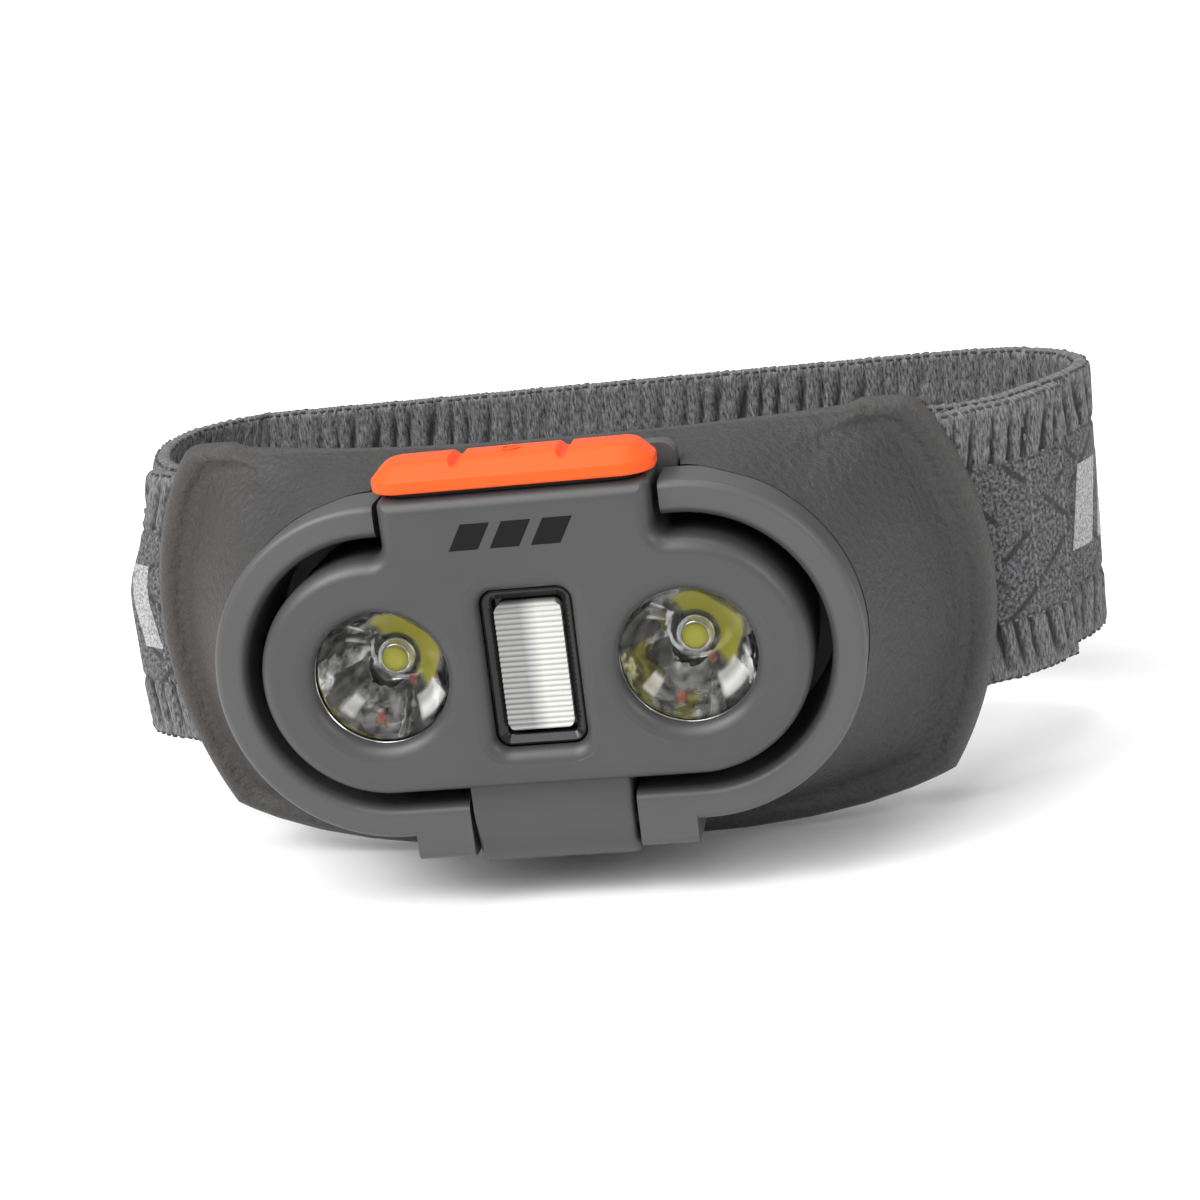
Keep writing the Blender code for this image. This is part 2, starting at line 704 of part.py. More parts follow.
def ribbon(name, line, mat):
    """A flat band standing on edge along a plan line."""
    left = sideways(line, STRAP_THICK / 2)
    right = sideways(line, -STRAP_THICK / 2)
    rings = []
    for a, b in zip(left, right):
        low, high = STRAP_Z
        rings.append([at(a.x, a.y, low), at(b.x, b.y, low), at(b.x, b.y, high), at(a.x, a.y, high)])
    return make(name, loft(rings), mat)


def strap_line():
    """The band from bar to bar; each end goes round its bar and is sewn back on the outside."""
    right = curve_through(RIGHT_PLAN)
    left = curve_through(LEFT_PLAN)
    back = [Vector((0.0420 - 0.086 * i / 8, BACK_RUN_Y)) for i in range(1, 8)]
    right_fold = [p for p in sideways(right, LAYER_STEP) if p.x > 0.0455 and p.y < FOLD_END_Y[1]]
    left_fold = [p for p in sideways(left, -LAYER_STEP) if p.x < -0.0455 and p.y < FOLD_END_Y[0]]
    right_end = bar_turn(1) + [Vector(APPROACH)] + list(reversed(right_fold))
    left_end = bar_turn(-1) + [Vector((-APPROACH[0], APPROACH[1]))] + list(reversed(left_fold))
    return list(reversed(right_end)) + list(reversed(right)) + back + left + left_end


# --- build ---------------------------------------------------------------------------------------


def main():
    grey = (0.13, 0.13, 0.13)
    mats = {
        "pod": material("pod_plastic", grey, 0.45),
        "cradle": material("cradle_plastic", (0.12, 0.12, 0.12), 0.45),
        "wing": material("wing_elastomer", (0.10, 0.10, 0.10), 0.6),
        "orange": material("button_orange", (0.95, 0.10, 0.01), 0.4),
        "clear": material("clear_plastic", (0.9, 0.9, 0.9), 0.05, alpha=0.3),
        "chrome": material("reflector_chrome", (0.8, 0.8, 0.8), 0.05, 1.0),
        "phosphor": material("led_phosphor", (0.65, 0.65, 0.05), 0.4),
        "red": material("led_red", (0.6, 0.05, 0.03), 0.3),
        "board": material("board_green", (0.02, 0.12, 0.05), 0.5),
        "foil": material("cell_foil", (0.55, 0.56, 0.58), 0.35, 0.6),
        "steel": material("steel", (0.5, 0.5, 0.5), 0.3, 1.0),
        "black": material("black_plastic", (0.02, 0.02, 0.02), 0.4),
        "rubber": material("seal_rubber", (0.03, 0.03, 0.03), 0.7),
        "foam": material("pad_foam", (0.05, 0.05, 0.05), 0.9),
        "knit": material("strap_knit", (0.07, 0.07, 0.075), 0.9),
    }
    pod_front_housing(mats["pod"])
    pod_rear_cover(mats["pod"])
    housing_seal(mats["rubber"])
    for side, sign in (("left", -1), ("right", 1)):
        optics(side, sign, mats)
        cover_screw(f"cover_screw_{side}_low", sign, -BOSS_Z, mats["steel"])
        cover_screw(f"cover_screw_{side}_high", sign, BOSS_Z, mats["steel"])
        frame_screw(f"frame_screw_{side}", sign, mats["steel"])
    flood(mats)
    badge_bars(mats["black"])
    power_button(mats["orange"])
    switch(mats)
    electronics(mats)
    charging_port(mats)
    cradle_frame(mats["cradle"])
    hinge_pin(mats["steel"])
    tilt_detent(mats["steel"])
    wing_panel(mats["wing"])
    back_frame(mats["black"])
    forehead_pad(mats["foam"])
    ribbon("strap_webbing", strap_line(), mats["knit"])


for old in list(bpy.data.objects):
    bpy.data.objects.remove(old, do_unlink=True)
PARTS = bpy.data.collections.new("headlamp")
CUTTERS = bpy.data.collections.new("cutters")
bpy.context.scene.collection.children.link(PARTS)
bpy.context.scene.collection.children.link(CUTTERS)
main()
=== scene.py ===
import math

import bmesh
import bpy
import numpy as np
from mathutils import Matrix, Vector


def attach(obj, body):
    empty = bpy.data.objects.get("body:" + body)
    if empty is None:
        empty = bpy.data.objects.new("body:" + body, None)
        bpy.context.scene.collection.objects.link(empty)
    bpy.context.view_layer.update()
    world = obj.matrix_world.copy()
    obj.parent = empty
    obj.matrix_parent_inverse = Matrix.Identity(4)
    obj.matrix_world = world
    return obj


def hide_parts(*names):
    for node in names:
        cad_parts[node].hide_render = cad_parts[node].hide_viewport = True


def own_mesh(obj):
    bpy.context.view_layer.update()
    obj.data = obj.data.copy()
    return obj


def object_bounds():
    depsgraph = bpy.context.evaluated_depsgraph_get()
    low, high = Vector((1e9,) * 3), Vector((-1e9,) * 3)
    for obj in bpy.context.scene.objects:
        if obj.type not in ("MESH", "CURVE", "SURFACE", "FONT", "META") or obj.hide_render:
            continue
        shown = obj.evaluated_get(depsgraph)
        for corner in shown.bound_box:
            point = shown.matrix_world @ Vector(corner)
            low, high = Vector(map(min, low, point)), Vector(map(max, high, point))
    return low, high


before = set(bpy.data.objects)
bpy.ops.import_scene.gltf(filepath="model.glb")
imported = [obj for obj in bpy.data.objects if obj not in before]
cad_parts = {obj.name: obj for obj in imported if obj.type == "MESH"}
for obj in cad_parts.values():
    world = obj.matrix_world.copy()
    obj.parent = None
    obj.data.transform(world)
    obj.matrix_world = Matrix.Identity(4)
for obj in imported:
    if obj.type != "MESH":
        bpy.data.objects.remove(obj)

LO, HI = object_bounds()

# Shapes are in millimetres from the middle of the lamp's front face, and at() moves them into the frame.
# Distances in materials are in metres.
MM = 0.001
TINY = 1e-9
FACE_Y = -27.2
EYE_Z = 1.0

PILL_X, PILL_R = 15.9, 12.6
BUMP_X, BUMP_TOP, BUMP_BACK = 13.9, 18.75, 8.6
EYE_X, EYE_R = 15.9, 7.05
PIN_Y, PIN_Z = 6.0, -18.5
LUG_X, LUG_R = 8.4, 3.7
RING_IN, RING_OUT, RING_FRONT = 14.45, 17.95, 2.0
BAR_X, BAR_Y, BAR_R = 39.4, 29.5, 1.2
STRAP_MID, STRAP_HALF, STRAP_THICK = 1.15, 15.7, 2.0
LAYER = 2.35
RUN_Y = 62.5
QUARTER = math.pi / 2


def at(x, y, z):
    return Vector((x, y + FACE_Y, z + EYE_Z)) * MM


# --- materials -----------------------------------------------------------------------------------


class Nodes:
    """A Principled material with its node tree, and short ways to add nodes."""

    def __init__(self, name, colour, rough, metal=0.0):
        self.mat = bpy.data.materials.new(name)
        self.mat.use_nodes = True
        self.tree = self.mat.node_tree
        self.shader = self.tree.nodes["Principled BSDF"]
        self.shader.inputs["Base Color"].default_value = (*colour, 1)
        self.shader.inputs["Roughness"].default_value = rough
        self.shader.inputs["Metallic"].default_value = metal
        self.mat.diffuse_color = (*colour, 1)

    def add(self, kind, **settings):
        node = self.tree.nodes.new(kind)
        for key, value in settings.items():
            setattr(node, key, value)
        return node

    def link(self, a, b):
        self.tree.links.new(a, b)

    def coords(self, output="Object", scale=(1, 1, 1)):
        source = self.add("ShaderNodeTexCoord").outputs[output]
        mapping = self.add("ShaderNodeMapping")
        mapping.inputs["Scale"].default_value = scale
        self.link(source, mapping.inputs["Vector"])
        return mapping.outputs["Vector"]

    def noise(self, vector, scale, detail=4.0, rough=0.55):
        node = self.add("ShaderNodeTexNoise")
        node.inputs["Scale"].default_value = scale
        node.inputs["Detail"].default_value = detail
        node.inputs["Roughness"].default_value = rough
        self.link(vector, node.inputs["Vector"])
        return node.outputs["Fac"]

    def split(self, vector):
        node = self.add("ShaderNodeSeparateXYZ")
        self.link(vector, node.inputs[0])
        return node.outputs

    def point_value(self, name):
        """A value stored on the mesh's points by paint()."""
        return self.add("ShaderNodeAttribute", attribute_name=name).outputs["Fac"]

    def cells(self, vector, scale):
        node = self.add("ShaderNodeTexVoronoi", feature="SMOOTH_F1")
        node.inputs["Scale"].default_value = scale
        self.link(vector, node.inputs["Vector"])
        return node.outputs["Distance"]

    def ramp(self, value, low, high, a=0.0, b=1.0):
        node = self.add("ShaderNodeMapRange", clamp=True)
        for key, number in (("From Min", low), ("From Max", high), ("To Min", a), ("To Max", b)):
            node.inputs[key].default_value = number
        self.link(value, node.inputs["Value"])
        return node.outputs["Result"]

    def math(self, kind, a, b=None, c=None):
        node = self.add("ShaderNodeMath", operation=kind)
        for socket, value in zip(node.inputs, (a, b, c)):
            if value is None:
                continue
            if isinstance(value, (int, float)):
                socket.default_value = value
            else:
                self.link(value, socket)
        return node.outputs[0]

    def mix(self, fac, a, b, kind="MIX"):
        node = self.add("ShaderNodeMix", data_type="RGBA", blend_type=kind)
        for socket, value in ((node.inputs[0], fac), (node.inputs[6], a), (node.inputs[7], b)):
            if isinstance(value, tuple):
                socket.default_value = (*value, 1)
            elif isinstance(value, (int, float)):
                socket.default_value = value
            else:
                self.link(value, socket)
        return node.outputs[2]

    def colour(self, socket):
        self.link(socket, self.shader.inputs["Base Color"])

    def rough(self, socket):
        self.link(socket, self.shader.inputs["Roughness"])

    def bump(self, height, strength, distance):
        node = self.add("ShaderNodeBump")
        node.inputs["Strength"].default_value = strength
        node.inputs["Distance"].default_value = distance
        self.link(height, node.inputs["Height"])
        self.link(node.outputs["Normal"], self.shader.inputs["Normal"])


def satin(name, colour, rough, grain=0.000006, scale=9000, spread=0.08):
    """Moulded plastic with a fine spark-eroded grain and slight wear in its tone."""
    m = Nodes(name, colour, rough)
    place = m.coords()
    fine = m.noise(place, scale, 3)
    broad = m.noise(place, 60, 3)
    dark = tuple(c * (1 - spread) for c in colour)
    light = tuple(min(c * (1 + spread), 1.0) for c in colour)
    m.colour(m.mix(m.ramp(broad, 0.3, 0.7), dark, light))
    m.rough(m.ramp(fine, 0.3, 0.7, rough - 0.04, rough + 0.05))
    m.bump(fine, 0.5, grain)
    return m.mat


def elastomer(name):
    """The panel's soft elastomer, with a fine pebbled grain and a paler rim that is a painted highlight."""
    m = Nodes(name, (0.04, 0.039, 0.038), 0.6)
    place = m.coords()
    pebbles = m.cells(place, 1150)
    fine = m.noise(place, 3000, 4)
    broad = m.noise(place, 45, 3)
    tone = m.mix(m.ramp(broad, 0.3, 0.7), (0.027, 0.0265, 0.026), (0.040, 0.039, 0.0385))
    warm = m.ramp(m.split(place)[0], -0.030, -0.044)
    tone = m.mix(warm, tone, (0.034, 0.028, 0.024))
    # The paler rim is a painted highlight.
    edge = m.point_value("edge")
    tone = m.mix(m.math("MULTIPLY", edge, 0.55), tone, (0.072, 0.069, 0.066))
    m.colour(m.mix(m.ramp(fine, 0.35, 0.65, 0.0, 0.3), tone, (0.014, 0.0135, 0.013)))
    m.rough(m.ramp(fine, 0.3, 0.7, 0.52, 0.66))
    height = m.math("ADD", m.math("MULTIPLY", pebbles, 0.7), m.math("MULTIPLY", fine, 0.5))
    m.bump(height, 0.85, 0.00042)
    return m.mat


def knit(name):
    """Charcoal heather knit: ribbed borders, a flat centre with broken diagonal strokes, and painted shade in
    the gaps between the ribs and in the groove by the stitches.
    """
    m = Nodes(name, (0.07, 0.07, 0.073), 0.92)
    place = m.coords("UV")
    rib, zone = m.point_value("rib"), m.point_value("zone")
    dashes = m.noise(m.coords("UV", (42, 9, 1)), 1.0, 4, 0.7)
    specks = m.noise(m.coords("UV", (26, 20, 1)), 1.0, 4, 0.7)
    border = m.mix(m.ramp(dashes, 0.36, 0.68), (0.011, 0.011, 0.012), (0.235, 0.235, 0.240))
    centre = m.mix(m.ramp(specks, 0.40, 0.68), (0.010, 0.010, 0.011), (0.172, 0.172, 0.177))
    parts = m.split(place)
    u, v = parts[0], parts[1]
    stroke_a = m.math("PINGPONG", m.math("MULTIPLY_ADD", v, 1.2, u), 0.42)
    stroke_b = m.math("PINGPONG", m.math("MULTIPLY_ADD", v, -1.2, u), 0.42)
    patch = m.noise(m.coords("UV", (1.6, 1.6, 1)), 1.0, 2)
    first = m.math("MULTIPLY", m.ramp(stroke_a, 0.03, 0.075, 1, 0), m.ramp(patch, 0.47, 0.53))
    second = m.math("MULTIPLY", m.ramp(stroke_b, 0.03, 0.075, 1, 0), m.ramp(patch, 0.47, 0.53, 1, 0))
    strokes = m.math("MAXIMUM", first, second)
    centre = m.mix(m.math("MULTIPLY", strokes, 0.85), centre, (0.012, 0.012, 0.013))
    both = m.mix(zone, centre, border)
    # Darker where rib is low, in the gaps between the ribs and the groove by the stitches: painted shade.
    m.colour(m.mix(m.ramp(rib, 0.1, 0.9, 0.92, 0.0), both, (0.006, 0.006, 0.007)))
    height = m.math("ADD", m.math("MULTIPLY", dashes, zone), m.math("MULTIPLY", specks, 0.8))
    m.bump(height, 0.8, 0.00022)
    m.shader.inputs["Sheen Weight"].default_value = 0.10
    m.shader.inputs["Sheen Roughness"].default_value = 0.5
    return m.mat


def plain(name, colour, rough, metal=0.0, grain=0.0, scale=3000):
    m = Nodes(name, colour, rough, metal)
    fine = m.noise(m.coords(), scale, 3)
    m.rough(m.ramp(fine, 0.3, 0.7, max(rough - 0.04, 0.01), rough + 0.04))
    if grain:
        m.bump(fine, 0.5, grain)
    return m.mat


def chrome(name):
    """Vacuum-metallised reflector, with painted reflections: the LED's yellow, the lights' white and two red
    spots, over a streaky metal tone whose pale stripes are painted reflections too.
    """
    m = Nodes(name, (0.20, 0.20, 0.20), 0.03, 1.0)
    place = m.coords()
    glow, fleck, gleam = (m.point_value(label) for label in ("glow", "fleck", "gleam"))
    # The metal's streaky tone: its pale stripes are painted reflections.
    painted_reflection_streaks = m.noise(place, 700, 4)
    metal = m.mix(m.ramp(painted_reflection_streaks, 0.35, 0.65), (0.10, 0.10, 0.097), (0.55, 0.55, 0.54))
    # Painted reflections of the LED's yellow, the lights' white and two red spots; the metal is made less
    # metallic there so they show.
    tint = m.mix(glow, metal, (0.46, 0.43, 0.05))
    tint = m.mix(gleam, tint, (0.95, 0.95, 0.95))
    m.colour(m.mix(fleck, tint, (0.42, 0.07, 0.02)))
    painted_reflection_share = m.math("MAXIMUM", m.math("MAXIMUM", glow, gleam), fleck)
    m.link(m.ramp(painted_reflection_share, 0.0, 1.0, 1.0, 0.15), m.shader.inputs["Metallic"])
    m.rough(m.ramp(m.noise(place, 900, 3), 0.4, 0.7, 0.02, 0.08))
    m.bump(m.noise(place, 380, 2), 0.5, 0.00014)
    return m.mat


def clear(name, alpha=0.07):
    m = Nodes(name, (0.01, 0.01, 0.01), 0.02)
    m.shader.inputs["Alpha"].default_value = alpha
    m.shader.inputs["Coat Weight"].default_value = 1.0
    m.shader.inputs["Coat Roughness"].default_value = 0.01
    m.rough(m.ramp(m.noise(m.coords(), 800, 2), 0.3, 0.7, 0.01, 0.03))
    return m.mat


def diffuser(name):
    """The flood's ribbed optic: frosted, and brighter over its white half."""
    m = Nodes(name, (0.7, 0.7, 0.68), 0.22)
    place = m.coords()
    side = m.ramp(m.split(place)[0], -0.0008, 0.0010)
    m.colour(m.mix(side, (0.22, 0.22, 0.215), (0.50, 0.50, 0.475)))
    m.bump(m.noise(place, 2500, 2), 0.2, 0.00002)
    return m.mat


def woven(name):
    """The strap's woven-in reflective blocks, in a speckled pale grey."""
    m = Nodes(name, (0.28, 0.28, 0.28), 0.55)
    threads = m.noise(m.coords(), 3200, 3, 0.7)
    m.colour(m.mix(m.ramp(threads, 0.35, 0.62), (0.12, 0.118, 0.115), (0.42, 0.42, 0.42)))
    m.bump(threads, 0.7, 0.0001)
    return m.mat


def mesh_cloth(name):
    """The pad's spacer-mesh cover, a close grid of small round holes."""
    m = Nodes(name, (0.05, 0.05, 0.052), 0.9)
    parts = m.split(m.coords())
    across, height = parts[0], parts[2]
    pitch = 0.00055
    squares = []
    for kind in ("ADD", "SUBTRACT"):
        wave = m.math("DIVIDE", m.math("PINGPONG", m.math(kind, across, height), pitch), pitch)
        squares.append(m.math("POWER", wave, 2.0))
    holes = m.math("ADD", *squares)
    m.colour(m.mix(m.ramp(holes, 0.15, 0.4), (0.008, 0.008, 0.009), (0.06, 0.06, 0.064)))
    m.bump(m.ramp(holes, 0.1, 0.5), 0.7, 0.00025)
    return m.mat


POD = satin("pod_plastic", (0.044, 0.044, 0.044), 0.42)
CRADLE = satin("cradle_plastic", (0.060, 0.060, 0.060), 0.44)
WING = elastomer("wing_elastomer")
ORANGE = satin("button_orange", (0.88, 0.088, 0.012), 0.45, 0.000004, 7000, 0.03)
CLEAR = clear("clear_plastic")
CHROME = chrome("reflector_chrome")
PHOSPHOR = plain("led_phosphor", (0.52, 0.50, 0.035), 0.35)
SILVER = plain("led_silver", (0.78, 0.78, 0.78), 0.14, 0.85, 0.00001)
RED = plain("led_red", (0.6, 0.05, 0.03), 0.3)
BOARD = plain("board_green", (0.02, 0.12, 0.05), 0.4)
FOIL = plain("cell_foil", (0.55, 0.56, 0.58), 0.35, 0.7, 0.00002, 500)
STEEL = plain("steel", (0.5, 0.5, 0.5), 0.3, 1.0, 0.000004, 9000)
BLACK = satin("black_plastic", (0.018, 0.018, 0.018), 0.38)
BEZEL = plain("bezel_gloss", (0.012, 0.012, 0.012), 0.10, 0.0, 0.00004, 700)
RUBBER = plain("seal_rubber", (0.03, 0.03, 0.03), 0.7)
INK = plain("badge_ink", (0.006, 0.006, 0.006), 0.6)
KNIT = knit("strap_knit")
THREAD = plain("stitch_thread", (0.15, 0.15, 0.155), 0.8, 0.0, 0.00002, 6000)
DARK_THREAD = plain("overlock_thread", (0.045, 0.045, 0.047), 0.85, 0.0, 0.00002, 6000)
WOVEN = woven("woven_reflective")
DIFFUSER = diffuser("flood_diffuser")
PAD = mesh_cloth("pad_foam")
for material, level in ((INK, 0.15), (BEZEL, 0.3), (ORANGE, 0.2)):
    shader = material.node_tree.nodes["Principled BSDF"]
    shader.inputs["Specular IOR Level"].default_value = level

# --- outlines and meshes -------------------------------------------------------------------------


def smooth_step(t):
    t = np.clip(t, 0.0, 1.0)
    return t * t * (3 - 2 * t)


def arc(cx, cz, r, start, end, steps):
    angles = [start + (end - start) * i / steps for i in range(steps + 1)]
    return [(cx + r * math.cos(a), cz + r * math.sin(a)) for a in angles]


def mirrored(half):
    return half + [(-x, z) for x, z in reversed(half) if abs(x) > TINY]


def stadium(cx, r, steps=56):
    return mirrored(arc(cx, 0, r, -QUARTER, QUARTER, steps))


def rounded_box(hx, hz, r, steps=10):
    return mirrored(arc(hx - r, -hz + r, r, -QUARTER, 0, steps) + arc(hx - r, hz - r, r, 0, QUARTER, steps))


def pod_outline(inset=0.0):
    half = arc(PILL_X, 0, PILL_R - inset, -QUARTER, QUARTER, 56)
    half += arc(BUMP_X + 1.5, PILL_R + 1.5, 1.5 + inset, 3 * QUARTER, 2 * QUARTER, 10)
    corner = max(0.9 - inset, 0.05)
    half += arc(BUMP_X - inset - corner, BUMP_TOP - inset - corner, corner, 0, QUARTER, 8)
    return mirrored(half)


def rounding(size, depth, a, b, turn, steps=10):
    """A quarter ellipse at an edge: a is how far it goes in, b how deep."""
    return [
        (size + turn * a * (1 - math.cos(QUARTER * i / steps)), depth - b * math.sin(QUARTER * i / steps))
        for i in range(steps + 1)
    ]


def loft(rings, closed=False):
    """A skin through rings of points, capped at both ends unless it closes on itself."""
    bm = bmesh.new()
    loops = [[bm.verts.new(p) for p in ring] for ring in rings]
    count = len(loops[0])
    pairs = list(zip(loops, loops[1:])) + ([(loops[-1], loops[0])] if closed else [])
    for low, high in pairs:
        for i in range(count):
            j = (i + 1) % count
            bm.faces.new((low[i], low[j], high[j], high[i]))
    if not closed:
        bm.faces.new(list(reversed(loops[0])))
        bm.faces.new(loops[-1])
    bmesh.ops.recalc_face_normals(bm, faces=bm.faces)
    return bm


def along_y(profile, outline):
    return [[at(x, y, z) for x, z in outline(size)] for size, y in profile]


def round_edges(bm, edges, size, segments):
    look = {"segments": segments, "profile": 0.5, "affect": "EDGES", "clamp_overlap": True}
    bmesh.ops.bevel(bm, geom=edges, offset=size * MM, **look)


def box(low, high, bevel=0.0):
    bm = bmesh.new()
    bmesh.ops.create_cube(bm, size=1.0)
    a, b = at(*low), at(*high)
    bmesh.ops.scale(bm, verts=bm.verts, vec=b - a)
    bmesh.ops.translate(bm, verts=bm.verts, vec=(a + b) / 2)
    if bevel:
        round_edges(bm, bm.edges, bevel, 3)
    return bm


def turned(profile, centre, axis="Y", steps=96, closed=False):
    """A solid turned about an axis, from (radius, distance along the axis) pairs."""
    cx, cy, cz = centre
    rings = []
    for r, s in profile:
        ring = []
        for i in range(steps):
            a = 2 * math.pi * i / steps
            u, v = r * math.cos(a), r * math.sin(a)
            place = {"X": (cx + s, cy + u, cz + v), "Y": (cx + u, cy + s, cz + v)}
            ring.append(at(*place[axis]))
        rings.append(ring)
    return loft(rings, closed)


def prism_x(points, x0, x1):
    return loft([[at(x, y, z) for y, z in points] for x in (x0, x1)])


def add_object(name, data):
    obj = bpy.data.objects.new(name, data)
    bpy.context.scene.collection.objects.link(obj)
    return obj


def paint(mesh, **layers):
    """Stores values on the mesh's points, for its material to read."""
    for label, values in layers.items():
        attribute = mesh.attributes.new(label, "FLOAT", "POINT")
        attribute.data.foreach_set("value", values.astype(np.float32))


def piece(name, bm, mat, angle=38):
    mesh = bpy.data.meshes.new(name)
    bm.to_mesh(mesh)
    bm.free()
    mesh.materials.append(mat)
    obj = add_object(name, mesh)
    mesh.shade_smooth()
    mesh.set_sharp_from_angle(angle=math.radians(angle))
    return obj


def boolean(obj, bm, how="DIFFERENCE"):
    """Adds a Boolean with a second solid, which settle() drops again."""
    mesh = bpy.data.meshes.new("tool")
    bm.to_mesh(mesh)
    bm.free()
    tool = add_object("tool", mesh)
    tool.hide_render = True
    mod = obj.modifiers.new(how.title(), "BOOLEAN")
    mod.operation, mod.object, mod.solver = how, tool, "EXACT"


def soften(obj, size, segments, limit):
    mod = obj.modifiers.new("Bevel", "BEVEL")
    mod.width, mod.segments, mod.limit_method = size * MM, segments, "ANGLE"
    mod.angle_limit = math.radians(limit)
    return mod


def keep_flat(obj):
    """Keeps flat faces flat in the shading."""
    mod = obj.modifiers.new("Normals", "WEIGHTED_NORMAL")
    mod.keep_sharp = True
    return mod


def settle(obj, bevel=0.0, segments=3, limit=50, angle=38):
    """Applies the Booleans, softens the edges that are left and shades the result."""
    if bevel:
        soften(obj, bevel, segments, limit).harden_normals = False
    bpy.context.view_layer.update()
    deps = bpy.context.evaluated_depsgraph_get()
    made = bpy.data.meshes.new_from_object(obj.evaluated_get(deps))
    tools = [m.object for m in obj.modifiers if m.type == "BOOLEAN"]
    obj.modifiers.clear()
    for tool in tools:
        bpy.data.objects.remove(tool, do_unlink=True)
    obj.data = made
    made.shade_smooth()
    made.set_sharp_from_angle(angle=math.radians(angle))
    keep_flat(obj).weight = 90


def stand_in(obj, body, slot, *nodes):
    """A finished piece rides on its body and stands for its CAD nodes."""
    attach(obj, body)
    if nodes:
        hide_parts(*nodes)


# --- lamp pod ------------------------------------------------------------------------------------


def flared(size, wide, deep, steps, mouth, lip):
    """The profile of a cutter whose edge flares out towards the front face."""
    first = 0.10
    angles = [first + (QUARTER - first) * i / steps for i in range(steps + 1)]
    flare = [(size + wide * (1 - math.sin(a)), deep * (1 - math.cos(a))) for a in angles]
    edge = flare[0][0]
    return [(edge + mouth, -2.0), (edge + lip, -0.02)] + flare + [(size, 3.0)]


def housing():
    shell = [(1.4, 1.6), (1.4, 12.0), (0.0, 12.0)] + rounding(0.0, 1.9, 1.7, 1.9, 1, 12)
    obj = piece("housing_front", loft(along_y(shell, pod_outline)), POD)
    boolean(obj, box((-20, BUMP_BACK, PILL_R + 0.05), (20, 20, 30)))
    shelf = [(7.4, 18.2), (7.4, 11.3), (11.9, 11.3)]
    shelf += [(11.9, PILL_R + 0.1), (8.55, PILL_R + 0.1), (8.55, 18.2)]
    boolean(obj, prism_x(shelf, -13.5, 13.5), "UNION")
    turn = [math.pi * i / 24 for i in range(1, 24)]
    lug = [(2.1, -12.0), (2.1, PIN_Z + 0.4)]
    lug += [(PIN_Y - LUG_R * math.cos(a), PIN_Z - LUG_R * math.sin(a)) for a in turn]
    lug += [(9.4, PIN_Z), (9.4, -12.0)]
    body = prism_x(lug, -LUG_X, LUG_X)
    below = at(0, 0, -12.5).z
    ends = []
    for edge in body.edges:
        first, last = edge.verts[0].co, edge.verts[1].co
        if abs(first.x - last.x) < TINY and first.z < below:
            ends.append(edge)
    round_edges(body, ends, 0.7, 4)
    boolean(obj, body, "UNION")
    boolean(obj, turned([(1.2, -12), (1.2, 12)], (0, PIN_Y, PIN_Z), "X", 48))
    eye_hole = flared(EYE_R, 1.9, 1.5, 14, 0.3, 0.05)
    for sign in (-1, 1):
        boolean(obj, turned(eye_hole, (sign * EYE_X, 0, 0), steps=120))

    def window(grow):
        return rounded_box(4.8 + grow, 8.45 + grow, 1.6 + grow, 12)

    boolean(obj, loft(along_y(flared(0.0, 1.7, 1.4, 12, 0.2, 0.03), window)))
    settle(obj, 0.12, 2, 55)
    stand_in(obj, "lamp_pod", "pod_plastic", "pod_front_housing")


def paint_bowl_reflections(mesh, middle):
    """Paints reflections onto the reflector's points: the LED's yellow, the lights' white highlights and two
    red spots.
    """
    places = np.array([v.co for v in mesh.vertices]) / MM
    east, north = places[:, 0] - middle, places[:, 2] - EYE_Z
    reach, turn = np.hypot(east, north), np.arctan2(north, east)
    swing = smooth_step((1.55 - np.abs(turn - 0.62)) / 0.35)
    rim = 5.3 + 0.4 * np.sin(5 * turn)
    glow = swing * smooth_step((reach - 2.3) / 0.5) * smooth_step((rim - reach) / 0.5)
    spots = ((1.5, -2.6), (-1.7, -5.6))
    flecks = [smooth_step(1.6 - np.hypot(east - x, north - z) / 0.42) for x, z in spots]
    gleam = np.zeros(len(reach))
    # Each painted highlight has an angle, half a width in radians, and the two radii it runs between.
    gleams = [(-0.80, 0.34, 4.2, 6.7), (-2.42, 0.16, 4.9, 6.9)]
    gleams += [(2.55, 0.07, 3.2, 5.6), (2.25, 0.05, 4.0, 6.2)]
    for angle, wide, near, far in gleams:
        spread = smooth_step((wide - np.abs(turn - angle)) / 0.06)
        spread *= 0.85 + 0.15 * np.sin(4 * reach + 3 * angle)
        gleam += spread * smooth_step((reach - near) / 0.5) * smooth_step((far - reach) / 0.4)
    paint(mesh, glow=glow, fleck=np.maximum(*flecks) * 0.8, gleam=np.clip(gleam, 0, 1))


